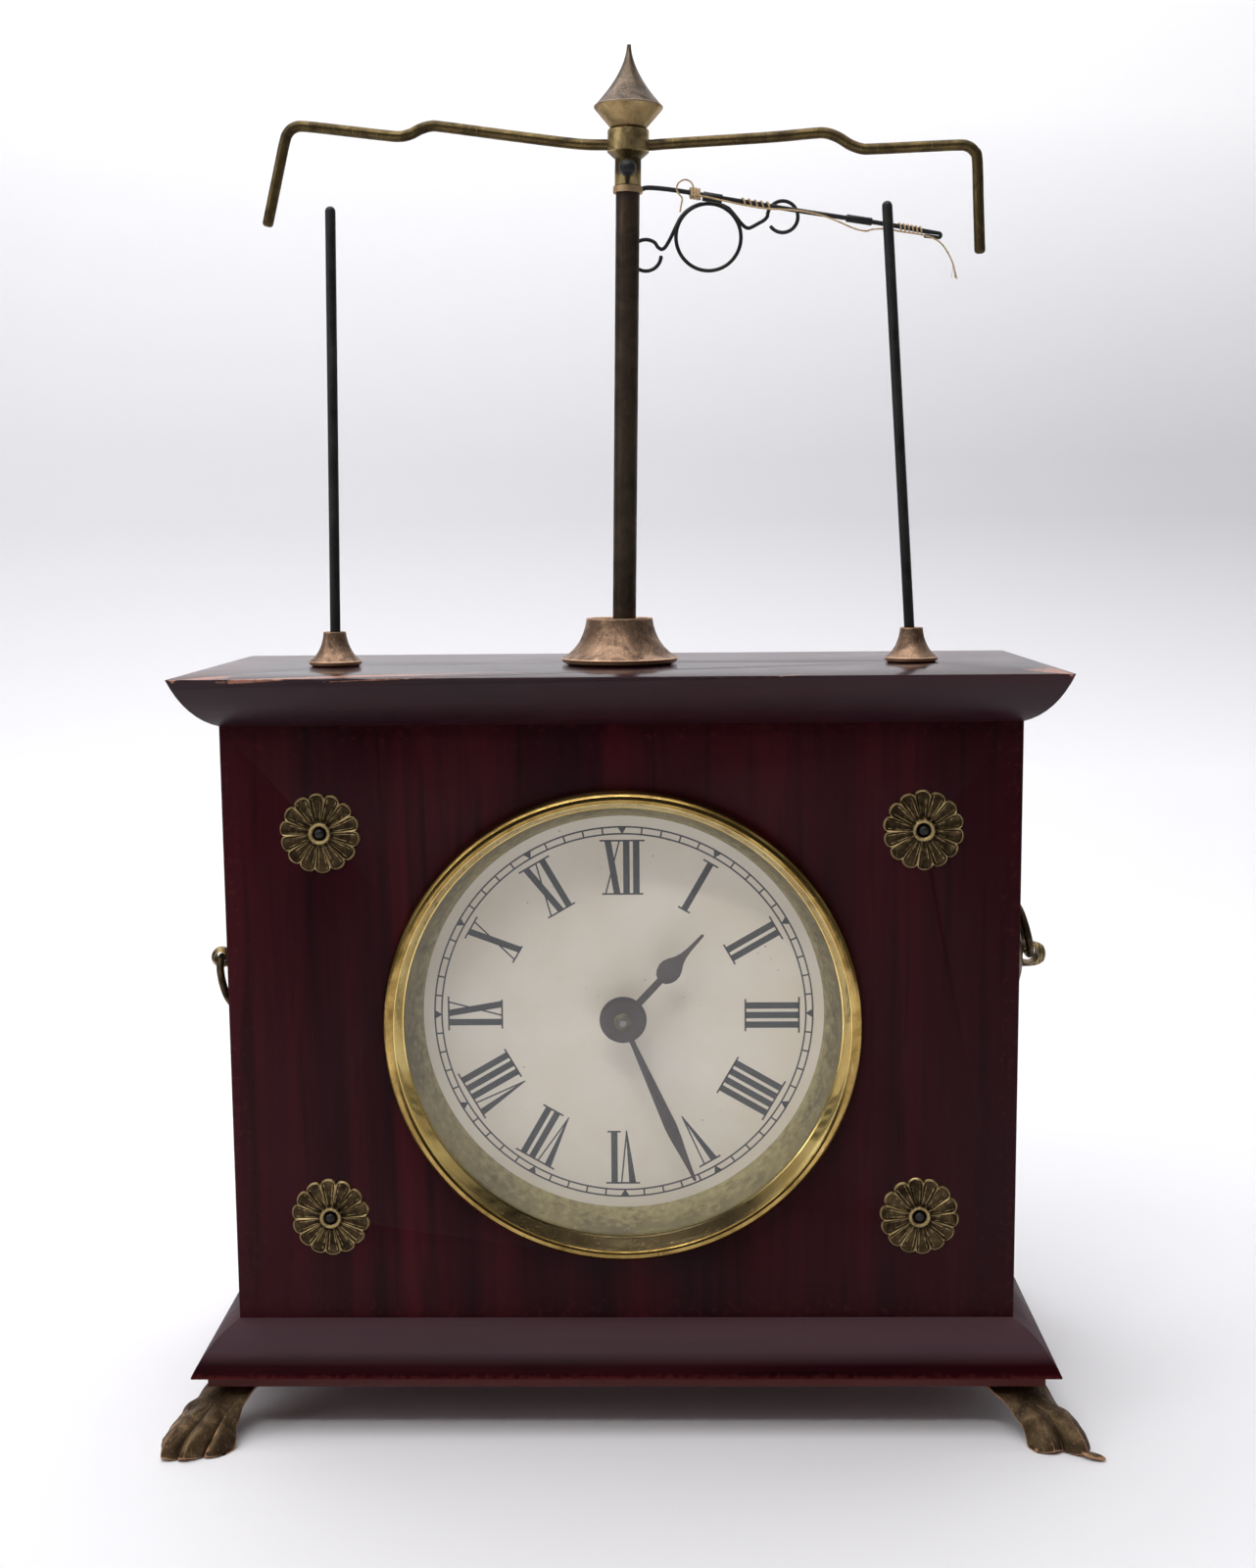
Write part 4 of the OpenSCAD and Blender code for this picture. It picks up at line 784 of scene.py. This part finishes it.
def makeBezel(look):
    bezel = roundCorners(look["bezel"], look["corner"], closed=True)
    lathePiece("bezelRing", bezel, dialFrame, "case", goldBrass, ["bezel"],
               steps=160, edges=0.2, smooth=50)
    lathePiece("innerRing", look["ring"], dialFrame, "case", ringBrass,
               ["inner_ring"], steps=160, edges=0.3, smooth=30)
    lathePiece("dialPlate", look["plate"], dialFrame, "case", dialWhite, ["dial"],
               steps=128, edges=0, smooth=35)


def inkBar(bm, start, end, width, endWidth=None):
    # A flat stroke from one point to another, as wide as given at each end
    start, end = Vector(start), Vector(end)
    across = Vector((-(end - start).y, (end - start).x)).normalized()
    half, endHalf = width / 2, (endWidth or width) / 2
    corners = [start - across * half, end - across * endHalf, end + across * endHalf,
               start + across * half]
    bm.faces.new([bm.verts.new((*corner, 0)) for corner in corners])


def numeralStrokes(text, look):
    # Strokes of a numeral that stands upright, as (start, end, width) or with an end width too
    low, high = 0.0, look["numeral"][0] - look["numeral"][1]
    thick, thin, serif = look["stroke"], look["thinStroke"], look["serif"]
    half = sum(look["advance"][letter] for letter in text) / 2
    x = -half
    strokes = []
    feet = []
    for letter in text:
        middle = x + look["advance"][letter] / 2
        if letter == "I":
            strokes.append(((middle, low), (middle, high), thick))
        elif letter == "V":
            strokes.append(((middle + 0.25, low - 0.25), (middle - 1.0, high), 0.25, thick + 0.1))
            strokes.append(((middle + 0.2, low), (middle + 1.35, high), thin))
        else:
            strokes.append(((middle + 0.95, low), (middle - 0.95, high), thick))
            strokes.append(((middle - 1.45, low), (middle + 1.45, high), thin))
        if letter in look["foot"]:
            start, end = look["foot"][letter]
            feet.append(((middle + start, low), (middle + end, low), serif))
        x += look["advance"][letter]
    over = half + look["overhang"]
    return strokes + [((-over, high), (over, high), serif)] + feet


def makePrint(look):
    bm = bmesh.new()
    outer, inner = look["track"]
    for radius in (outer, inner):
        steps = 240
        for i in range(steps):
            a, b = (2 * math.pi * k / steps for k in (i, i + 1))
            low, high = radius - look["line"] / 2, radius + look["line"] / 2
            bm.faces.new([bm.verts.new((r * math.sin(t), r * math.cos(t), 0))
                          for r, t in ((low, b), (high, b), (high, a), (low, a))])
    for minute in range(60):
        turn = Matrix.Rotation(-math.radians(6 * minute), 2)
        if minute % 5:
            inkBar(bm, turn @ Vector((0, inner)), turn @ Vector((0, outer)), look["line"])
        else:
            mark = look["hourMark"]
            corners = [(-mark, outer), (mark, outer), (0, inner - 0.1)]
            bm.faces.new([bm.verts.new((*(turn @ Vector(corner)), 0)) for corner in corners])
    texts = ("XII", "I", "II", "III", "IIII", "V", "VI", "VII", "VIII", "IX", "X", "XI")
    for hour, text in enumerate(texts):
        turn = Matrix.Rotation(-math.radians(30 * hour), 2)
        lift = Vector((look["slip"][hour], look["numeral"][1]))
        for start, end, *widths in numeralStrokes(text, look):
            inkBar(bm, turn @ (Vector(start) + lift), turn @ (Vector(end) + lift), *widths)
    bmesh.ops.recalc_face_normals(bm, faces=bm.faces)
    for face in bm.faces:
        face.normal_update()
        if face.normal.z < 0:
            face.normal_flip()
    thicken(bm, look["inkLift"])
    addPiece("dialPrint", bm, "case", dialInk, edges=0,
             frameOf=dialFrame @ Matrix.Translation((0, 0, look["inkLevel"])))


handLook = {
    "thickness": 0.4,
    "edge": 0.08,
    "nut": [(0.62, -4.18), (1.8, -4.18), (1.75, -3.7), (1.15, -3.42), (0.62, -3.42)],
}
# Each hand: its half width where it leaves the round boss, and then half widths up to the tip
hourLook = {
    "boss": 4.88,
    "level": -6.0,
    "turn": 43,
    "root": 0.76,
    "outline": [(0.74, 11.3), (1.4, 11.6), (2.05, 12.5), (2.42, 13.6), (2.38, 14.7), (1.95, 15.8),
                (1.2, 17.0), (0.74, 18.4), (0.48, 20.2), (0.36, 22.9), (0.3, 24.2), (0.0, 24.5)],
}
minuteLook = {
    "boss": 4.5,
    "level": -4.6,
    "turn": 156.5,
    "root": 0.55,
    "outline": [(0.56, 6.0), (0.82, 12), (1.13, 19), (1.32, 24.4), (1.12, 27.5), (0.74, 31),
                (0.44, 34.5), (0.32, 36.8), (0.0, 37.2)],
}


def makeHand(name, body, node, look, shape):
    bm = bmesh.new()
    boss = shape["boss"]
    start = math.asin(shape["root"] / boss)
    right = [(shape["root"], boss * math.cos(start))] + shape["outline"]
    left = [(-x, y) for x, y in reversed(right[:-1])]
    around = [(boss * math.sin(a), boss * math.cos(a)) for a in
              (start + (2 * math.pi - 2 * start) * k / 64 for k in range(65))]
    ring = right + left + around[-2:0:-1]
    face = bm.faces.new([bm.verts.new((x, y, 0)) for x, y in ring])
    face.normal_update()
    bmesh.ops.triangulate(bm, faces=[face])
    bmesh.ops.recalc_face_normals(bm, faces=bm.faces)
    thicken(bm, look["thickness"])
    bmesh.ops.dissolve_limit(bm, angle_limit=0.02, verts=bm.verts, edges=bm.edges)
    bevelSharp(bm, look["edge"], angle=50)
    place = (dialFrame @ Matrix.Rotation(-math.radians(shape["turn"]), 4, "Z")
             @ Matrix.Translation((0, 0, shape["level"])))
    addPiece(name, bm, body, handSteel, [node], edges=0.5, frameOf=place)


makeBezel(dialLook)
makePrint(dialLook)
makeHand("hourHand", "hour", "hour_hand", handLook, hourLook)
makeHand("minuteHand", "minute", "minute_hand", handLook, minuteLook)
lathePiece("handNut", roundCorners(handLook["nut"], 0.12, closed=True), dialFrame, "minute",
           nutBrass, ["hand_nut"], steps=48, edges=1.0, smooth=35)
paintNode("glass", glassClear)
dressNode("centre_arbor", "centreArbor", "minute", bareSteel)
print("dial made")


# ---- rosettes ----
rosetteLook = {
    "petals": 14,
    "radius": 8.2,
    "scallop": 1.05,
    "ridge": 0.32,
    "dish": 0.24,
    "thickness": 0.02,
    "level": 0.62,
    "hole": 0.45,
    "boss": 1.9,
    "bossRise": 0.45,
    "dimple": 1.5,
    "across": 60.8,
    "up": 40.2,
    "nail": [(0, 1.0), (0.5, 0.96), (0.8, 0.78), (0.88, 0.5), (0, 0.5)],
}


def makeRosette(row, column, side, up, seed, look):
    # A flat sheet bent into a disc, then pressed into petals
    rng = random.Random(seed)
    petals = look["petals"]
    press = [rng.uniform(0.55, 1.15) for _ in range(petals)]
    tilt = rng.uniform(-0.12, 0.12)
    bm = bmesh.new()
    bmesh.ops.create_grid(bm, x_segments=petals * 14, y_segments=26, size=0.5)
    for vert in bm.verts:
        turn = (vert.co.x + 0.5) * 2 * math.pi
        out = vert.co.y + 0.5
        spot = (vert.co.x + 0.5) * petals
        which = int(spot) % petals
        f = spot - math.floor(spot) - 0.5
        rim = look["radius"] - look["scallop"] * (1 - math.sqrt(max(0.0, 1 - 3.9 * f * f)))
        radius = look["hole"] + (rim - look["hole"]) * out ** 0.85
        inner = min(1.0, max(0.0, (radius - 1.9) / 1.2))
        outer = min(1.0, max(0.0, (rim - radius) / 0.5))
        between = math.exp(-((abs(f) - 0.5) / 0.085) ** 2)
        groove = math.exp(-((abs(f) - 0.36) / 0.05) ** 2)
        z = look["level"] - 0.12 * (radius / look["radius"]) ** 2
        z += inner * outer ** 0.5 * (look["ridge"] * between * press[which]
                                     - look["dish"] * press[which] * math.cos(math.pi * f)
                                     - 0.07 * groove)
        z += look["bossRise"] * math.exp(-((radius - look["boss"]) / 0.38) ** 2)
        if radius < look["dimple"]:
            z -= look["bossRise"] * (1 - radius / look["dimple"]) ** 0.5
        if out > 0.985:
            z = 0.04
        z += 0.05 * noise.noise((radius * math.cos(turn), radius * math.sin(turn), seed))
        vert.co = (radius * math.cos(turn + tilt), radius * math.sin(turn + tilt), max(0.03, z))
    closeSheet(bm, 0.01, look["thickness"])
    place = dialFrame @ Matrix.Translation((side * look["across"], up * look["up"], 0))
    name = "rosette" + row + column
    addPiece(name, bm, "case", oldBrass, [f"rosette_{row}_{column}".lower()],
             smooth=60, edges=1.6, frameOf=place)
    lathePiece(name + "Nail", look["nail"], place, "case", blackSteel, steps=24,
               closed=False, edges=0, smooth=35)


for seed, (row, column, side, up) in enumerate((
        ("Top", "Left", -1, 1), ("Top", "Right", 1, 1),
        ("Bottom", "Left", -1, -1), ("Bottom", "Right", 1, -1)), 21):
    makeRosette(row, column, side, up, seed, rosetteLook)
dressNode("rosette_nails", "rosetteNails", "case", blackSteel)
print("rosettes made")


# ---- paw feet ----
footLook = {
    "base": (80.4, 31.0),
    "turn": 62,
    "line": [(-12, 9.6), (-1, 9.6), (2, 9.45), (5, 8.7), (7.6, 7.5), (10, 6.6), (12.5, 6.0),
             (15, 5.0), (17, 3.6), (18.3, 2.2), (18.9, 0.9), (18.9, 0.3)],
    "toeRise": 1.5,
    "notch": 1.7,
    "thickness": 0.6,
    "curl": 3.6,
    "pawFrom": (4, 8),     # where the paw begins along the foot, and how soon it is full
    "tipFrom": (10, 7),
    "claw": (22.1, 3.3, 0.8),
    "clawTurn": 40,
}
# The front feet differ: one keeps four toes, the other is worn to two and a bent claw.
# Widths are given along the foot; toes and their reach run from the inner side to the outer
wholeFoot = {
    "inner": [(-12, 4.9), (2, 4.9), (4.2, 5.4), (6.6, 5.4), (8, 5.8), (10.3, 6.4), (12.6, 7.2),
              (14.2, 7.4), (18.9, 7.4)],
    "outer": [(-12, 4.9), (2, 5.2), (4, 6.0), (7, 6.6), (9, 8.2), (11.7, 8.2), (18.9, 8.2)],
    "toes": (0, 0.205, 0.455, 0.795, 1),
    "reach": [(0, 15.5), (0.1, 17.2), (0.205, 18.6), (0.33, 21), (0.455, 22), (0.62, 22.9),
              (0.795, 20.2), (0.9, 18), (1, 16.5)],
}
wornFoot = {
    "inner": [(-12, 6.4), (2, 7.0), (3.5, 7.0), (6.4, 5.8), (9.3, 5.0), (11.8, 4.6), (14.6, 5.0),
              (18.9, 5.0)],
    "outer": [(-12, 4.9), (2, 4.9), (5.2, 5.5), (9.2, 5.8), (11.9, 7.4), (14.7, 7.4), (18.9, 7.2)],
    "toes": (0, 0.41, 1),
    "reach": [(0, 15.5), (0.2, 17.2), (0.36, 17.5), (0.5, 20), (0.62, 21.2), (0.8, 19.5),
              (1, 15.5)],
}


def makeFoot(row, column, side, end, seed, look, shape, claw=False):
    # A sheet laid along the foot's line and pressed into toes
    line = smoothRoute([(x, 0, z) for x, z in look["line"]], 5)
    lengths = [0.0]
    for a, b in zip(line, line[1:]):
        lengths.append(lengths[-1] + (b - a).length)
    toes = shape["toes"]
    bm = bmesh.new()
    bmesh.ops.create_grid(bm, x_segments=90, y_segments=84, size=0.5)
    for vert in bm.verts:
        along = (vert.co.x + 0.5) * lengths[-1]
        k = min(max(i for i, far in enumerate(lengths) if far <= along + 1e-9), len(line) - 2)
        t = (along - lengths[k]) / max(1e-9, lengths[k + 1] - lengths[k])
        point = line[k].lerp(line[k + 1], t)
        share = min(0.9999, max(0.0, vert.co.y + 0.5))
        across = share * 2 - 1
        which = max(i for i, start in enumerate(toes) if share >= start)
        wide = toes[which + 1] - toes[which]
        f = (share - toes[which]) / wide - 0.5
        lobe = math.sqrt(max(0.0, 1 - 3.9 * f * f))
        deep = min(1.0, 0.45 + wide * 2)
        paw, tip = (min(1.0, max(0.0, (point.x - start) / length))
                    for start, length in (look["pawFrom"], look["tipFrom"]))
        rise = look["toeRise"] * paw * (0.3 + 0.7 * tip) * (lobe * deep - 0.7)
        hair = 0.22 * paw * (1 - 0.8 * tip) * noise.noise((along * 0.45, across * 7, seed))
        dent = 0.18 * noise.noise((along * 0.35, across * 1.5, seed + 9))
        drop = look["curl"] * paw * abs(across) ** 3.4 + 0.5 * (1 - paw) * across * across
        x = point.x + tip * (valueAt(shape["reach"], share) - line[-1].x
                             - look["notch"] * (1 - lobe))
        z = max(0.3, point.z + rise + hair + dent * paw - drop * min(1.0, point.z / 4))
        inner, outer = valueAt(shape["inner"], point.x), valueAt(shape["outer"], point.x)
        wave = 1 + 0.03 * noise.noise((along * 0.4, 0, seed))
        vert.co = (x, -side * end * (share * (inner + outer) - inner) * wave, z)
    closeSheet(bm, 0.001, look["thickness"])
    for vert in bm.verts:
        vert.co.z = max(0.0, vert.co.z)
    if claw:
        made = bmesh.ops.create_uvsphere(bm, u_segments=20, v_segments=12, radius=1)
        bmesh.ops.scale(bm, vec=(2.5, 0.95, 0.6), verts=made["verts"])
        for degrees, axis in ((6, "Y"), (look["clawTurn"], "Z")):
            bmesh.ops.rotate(bm, cent=(0, 0, 0), verts=made["verts"],
                             matrix=Matrix.Rotation(math.radians(degrees), 3, axis))
        bmesh.ops.translate(bm, vec=look["claw"], verts=made["verts"])
        for vert in made["verts"]:
            vert.co.z = max(0.0, vert.co.z)
    turn = math.radians(look["turn"])
    place = (Matrix.Translation((side * look["base"][0], end * look["base"][1], 0))
             @ Matrix.Rotation(math.atan2(end * math.sin(turn), side * math.cos(turn)), 4, "Z"))
    addPiece("foot" + row + column, bm, "case", footBrass,
             [f"foot_{row}_{column}".lower()], smooth=50, edges=0.8, frameOf=place)


makeFoot("Front", "Left", -1, -1, 31, footLook, wholeFoot)
makeFoot("Front", "Right", 1, -1, 32, footLook, wornFoot, claw=True)
makeFoot("Rear", "Left", -1, 1, 33, footLook, wholeFoot)
makeFoot("Rear", "Right", 1, 1, 34, footLook, wholeFoot)
print("feet made")


# ---- side fittings ----
for label in ("Left", "Right"):
    dressNode("side_stud_" + label.lower(), "sideStud" + label, "case", oldBrass,
              smooth=40)

ringLook = {
    "radius": 5.2,
    "wire": 0.8,
    "at": (85.7, -14, 95.5),
    # The left ring hangs, leaning in, and the right one is turned up over its stud
    "turns": (("Left", -1, -14), ("Right", 1, -194)),
}


def makeSideRing(label, side, turn, look):
    radius = look["radius"]
    section = arcPoints((radius, 0), look["wire"], 0, 342, 18)
    x, y, z = look["at"]
    place = (Matrix.Translation((side * x, y, z)) @ Matrix.Rotation(math.radians(turn), 4, "Y")
             @ Matrix.Translation((0, 0, -radius)) @ Matrix.Rotation(math.radians(90), 4, "Y"))
    lathePiece("sideRing" + label, section, place, "ring_" + label.lower(), oldBrass,
               ["side_ring_" + label.lower()], steps=72, edges=0.3, smooth=35)


for label, side, turn in ringLook["turns"]:
    makeSideRing(label, side, turn, ringLook)


# ---- mast, hub, finial and guard rod ----
def bend(start, control, end, t):
    return tuple((1 - t) ** 2 * a + 2 * t * (1 - t) * b + t * t * c
                 for a, b, c in zip(start, control, end))


def flareCurve(low, high, height, base, steps=14):
    control = (high + 0.12 * (low - high), 0.3 * height)
    return [(r, base + h) for r, h in
            (bend((low, 0), control, (high, height), i / steps) for i in range(steps + 1))]


mastLook = {
    "foot": [(4.0, 0.0), (11.0, 0.0), (12.2, 0.5), (12.6, 1.3)] + flareCurve(12.6, 7.1, 8.6, 1.3)
            + [(6.5, 9.9), (6.1, 9.6), (5.6, 8.8), (4.0, 8.7)],
    "cone": [(1.1, 0.0), (4.9, 0.0), (5.55, 0.4), (5.7, 1.0)] + flareCurve(5.7, 2.4, 6.4, 1.0)
            + [(1.7, 7.35), (1.1, 7.3)],
    "pinAt": 62.1,
    "pinRadius": 1.1,
    "pinFoot": -8,
    "pinTop": 95.4,
    "lean": (("Left", -1, 0.9), ("Right", 1, -3.6)),
}


lathePiece("mastFoot", mastLook["foot"], Matrix.Translation((-0.6, 0, capTop)), "case",
           brownBrass, ["mast_foot"])
for label, side, lean in mastLook["lean"]:
    stand = Matrix.Translation((side * mastLook["pinAt"], 0, capTop))
    lathePiece("pinCone" + label, mastLook["cone"], stand, "case", brownBrass,
               ["pin_cone_" + label.lower()])
    r, top = mastLook["pinRadius"], mastLook["pinTop"]
    foot = mastLook["pinFoot"]
    lathePiece("pin" + label, [(0, foot), (r, foot)] + arcPoints((0, top), r, 0, 90, 15),
               stand @ Matrix.Rotation(math.radians(lean), 4, "Y"), "case",
               blackSteel, ["pin_" + label.lower()], steps=32, closed=False)

dressNode("mast_tube", "mastTube", "flyer", mastBrass, smooth=30, edges=0.6)
dressNode("spindle", "spindleRod", "case", bareSteel)
dressNode("hub", "hubBody", "case", hubBrass, bevel=0.12, smooth=40)
dressNode("thumb_screw", "thumbScrew", "thumb", blackSteel, smooth=60)

finialLook = {
    "profile": [(0, -1.6), (1.25, -1.6), (1.25, 0.02), (3.7, 0.02), (3.9, 0.25), (7.0, 3.85),
                (7.2, 4.15), (7.18, 4.4), (6.9, 4.62)],
    "level": 165.5,
    "tip": 0.42,
    "hollow": 1.75,        # how much the spire's sides are hollowed
    "spire": 12.18,
}


def makeFinial(look):
    rim, low = look["profile"][-1]
    tip, tall, steps = look["tip"], look["spire"], 24
    spire = [(tip + (rim - tip) * (1 - i / steps) ** look["hollow"], low + tall * i / steps)
             for i in range(1, steps + 1)]
    top = low + tall
    lathePiece("finialSpire", look["profile"] + spire + [(0.3, top), (0, top)],
               mastFrame @ Matrix.Translation((0, 0, look["level"])), "case",
               finialBrass, ["finial"], closed=False)


makeFinial(finialLook)

guardLook = {
    "radius": 1.15,
    "height": 162.2,
    "left": [(-5, 0), (-11, 0.2), (-25, 1.8), (-38.5, 3.45), (-41.2, 3.6), (-43.4, 3.0),
             (-45.4, 2.0), (-47.6, 1.5), (-50.4, 1.65), (-59, 2.55), (-67.4, 3.4), (-69.7, 3.2),
             (-71.1, 2.1), (-71.9, 0.1), (-73.3, -6), (-75.78, -16.98)],
    "right": [(5, 0), (10, 0.4), (29.4, 1.7), (38, 2.5), (41, 2.6), (43.6, 1.8), (46.2, 0.3),
              (48.6, -0.5), (51, -0.55), (60, -0.1), (68.4, 0.3), (70.6, 0.1), (72, -0.9),
              (72.7, -2.6), (73.2, -11), (73.85, -21.6)],
}


def makeGuardRod(look):
    left = smoothRoute([(x, 0, look["height"] + z) for x, z in look["left"]], 6)
    right = smoothRoute([(x, 0, look["height"] + z) for x, z in look["right"]], 6)
    route = domedRoute(list(reversed(left)) + right, 0.6)
    bm = wireMesh("guard", [route], look["radius"], mastFrame, sides=6, thin=roundedEnds)
    addPiece("guardRod", bm, "case", rodBrass, ["guard_rod"], smooth=60, edges=0.3)


makeGuardRod(guardLook)
print("mast made")


# ---- arm and scroll ----
armLook = {
    "radius": 0.5,
    "eyeWire": 0.4,
    "eyeRadius": 0.45,
    "eyeAlong": (66.2, 63.1),
    "eyeDown": -8.2,
    "scrollWire": 0.4,
    "ringOff": 0.92,
    "strandOff": 1.74,
    "bigRing": (17.3, -9.2, 6.9),
    "smallLeft": (4.1, -13, 3.25),
    "smallRight": (33.1, -4.6, 3.25),
    "strandRadius": 7.15,
    "leftWave": [(10, -7.9), (9.4, -9.2), (8.75, -10.4), (8.1, -11.35), (7.4, -11.7),
                 (6.65, -11.3)],
    "rightWave": [(18.6, -1.9), (21.2, -2.85), (22.25, -3.75), (23.3, -4.95), (24, -5.8),
                  (24.6, -6.4), (25.25, -6.9), (26, -7.05), (26.9, -6.65), (28.05, -6),
                  (28.8, -5.6), (29.4, -5.15)],
}


def makeArm(look):
    arm = [(x, 0, armTop + z) for x, z in armLine]
    eyeAt, eyeRadius = armTop + look["eyeDown"], look["eyeRadius"]
    first, last = look["eyeAlong"]
    eye = [(x, 0, z) for x, z in arcPoints((first, eyeAt), eyeRadius, 90, -90, 15)]
    smooth = smoothRoute(arm, 4)
    route = smooth + eye + [(last, 0, eyeAt - eyeRadius + 0.3)]

    def thin(index, k, count):
        return 1.0 if k < len(smooth) else look["eyeWire"] / look["radius"]

    bm = wireMesh("arm", [route], look["radius"], armFrame, sides=4, thin=thin)
    addPiece("armWire", bm, "flyer", blackSteel, ["arm"], smooth=60, edges=0.3)


def makeScroll(look):
    def standing(points, off):
        return [Vector((x, off, armTop + z)) for x, z in points]

    x, z, ringRadius = look["bigRing"]
    ring = standing(arcPoints((x, z), ringRadius, 0, 355, 5), look["ringOff"])
    leftStart = arcPoints((x, z), look["strandRadius"], 100, 158, 7.25)
    x, z, radius = look["smallLeft"]
    left = (standing(leftStart, look["strandOff"])
            + smoothRoute(standing(look["leftWave"], look["strandOff"]), 4)
            + standing(arcPoints((x, z), radius, 54, 360, 9), look["strandOff"]))
    x, z, radius = look["smallRight"]
    right = (smoothRoute(standing(look["rightWave"], look["strandOff"]), 4)
             + standing(arcPoints((x, z), radius, 180, -144, 9), look["strandOff"]))
    bm = wireMesh("scroll", [domedRoute(left, 0.3), domedRoute(right, 0.3), ring],
                  look["scrollWire"], armFrame, sides=4, closed=(2,),
                  thin=lambda index, k, count: 1.0 if index == 2 else roundedEnds(index, k, count))
    addPiece("scrollWire", bm, "flyer", blackSteel, ["scroll_wire"], smooth=60,
             edges=0.3)


makeArm(armLook)
makeScroll(armLook)
dressNode("arm_sleeves", "armSleeves", "flyer", blackSteel, bevel=0.12)
print("arm made")

# ---- movement behind the dial, as the frame has it ----
for node in ("front_plate", "back_plate", "pillars", "spindle_cock", "centre_wheel",
             "contrate_wheel", "great_wheel", "winding_key", "minute_wheel", "hour_wheel"):
    paintNode(node, workBrass)
for node in ("mainspring", "click"):
    paintNode(node, bareSteel)
print("movement dressed")


# ---- floor, backdrop and light ----
stageLook = {
    "floor": srgb(236, 235, 238),
    # The sweep is painted lighter higher up and greyer in a band across its middle: painted light
    # and shade
    "paper": srgb(252, 252, 254),
    "band": srgb(196, 195, 199),
    "world": 0.42,
    # The paper lies flat, curves up with the bend's radius and stands as a wall behind
    "width": 6,
    "flat": (-3.0, 0.55),
    "bend": 0.5,
    "top": 3.0,
    # Name, place, the point it faces, its two sizes and its power
    "lights": (("overheadLight", (-0.2, -0.1, 1.1), (0, 0, 0.1), (1.2, 1.0), 9.5),
               ("leftLight", (-1.0, -0.5, 0.7), (0, 0, 0.12), (0.6, 0.8), 3.1),
               ("frontLight", (-0.15, -0.7, 1.0), (0, 0, 0.1), (0.6, 0.07), 2.4),
               ("backLight", (0.1, 0.55, 1.45), (0.1, 1.05, 0.95), (2.2, 0.3), 13.0)),
}


def makeStage(look):
    made, tree, shader, where = newMaterial("stagePaper")
    parts = addNode(tree, "SeparateXYZ", {0: where}).outputs
    # Painted shade: a greyer band across the middle of the sweep, weaker towards the left
    band = times(tree, spread(tree, parts["Z"], 0.04, 0.2),
                 spread(tree, parts["Z"], 0.24, 0.5, 1.0, 0.0))
    band = times(tree, band, spread(tree, parts["X"], -0.45, 0.35, 0.55, 1.0))
    # Painted light: the paper is lighter higher up
    paper = mixColour(tree, spread(tree, parts["Z"], 0.2, 0.5), look["floor"], look["paper"])
    colour = mixColour(tree, band, paper, look["band"])
    setInputs(tree, shader, {"Base Color": colour, "Roughness": 0.7, "Specular IOR Level": 0.2})
    bm = bmesh.new()
    start, end = look["flat"]
    bend, width = look["bend"], look["width"]
    profile = ([(start, 0)] + arcPoints((end, bend), bend, -90, 0, 5.625)
               + [(end + bend, look["top"])])
    line = [bm.verts.new((-width / 2, y, z)) for y, z in profile]
    edges = [bm.edges.new(pair) for pair in zip(line, line[1:])]
    moveGrown(bm, bmesh.ops.extrude_edge_only(bm, edges=edges), (width, 0, 0))
    addObject("paperSweep", finishMesh("paperSweep", bm, made))


def makeWorld(look):
    world = bpy.data.worlds.new("studioWorld")
    world.use_nodes = True
    bpy.context.scene.world = world
    tree = world.node_tree
    background = tree.nodes["Background"]
    way = addNode(tree, "TexCoord").outputs["Generated"]
    parts = addNode(tree, "SeparateXYZ", {0: way}).outputs
    height = spread(tree, parts["Z"], -0.2, 0.8, 0.25, 1.0)
    forward = spread(tree, parts["Y"], -0.8, 0.2, 0.14, 1.0)
    shade = times(tree, height, forward)
    tree.links.new(mixColour(tree, shade, (0, 0, 0, 1), (0.98, 0.98, 1.0, 1)),
                   background.inputs["Color"])
    background.inputs["Strength"].default_value = look["world"]
    # The camera sees a plain pale wall where the sweep ends, and nothing is lit by it
    wall = addNode(tree, "Background", {"Color": look["floor"], "Strength": 1.0})
    seen = addNode(tree, "LightPath").outputs["Is Camera Ray"]
    mix = addNode(tree, "MixShader", {0: seen, 1: background.outputs[0], 2: wall.outputs[0]})
    tree.links.new(mix.outputs[0], tree.nodes["World Output"].inputs["Surface"])


def addLight(name, at, aim, size, power):
    data = bpy.data.lights.new(name, "AREA")
    data.shape = "RECTANGLE"
    data.size, data.size_y = size
    data.energy = power
    light = addObject(name, data)
    away = Vector(at) - Vector(aim)
    light.matrix_world = Matrix.Translation(at) @ away.to_track_quat("Z", "Y").to_matrix().to_4x4()


makeStage(stageLook)
makeWorld(stageLook)
for light in stageLook["lights"]:
    addLight(*light)
print("stage made")
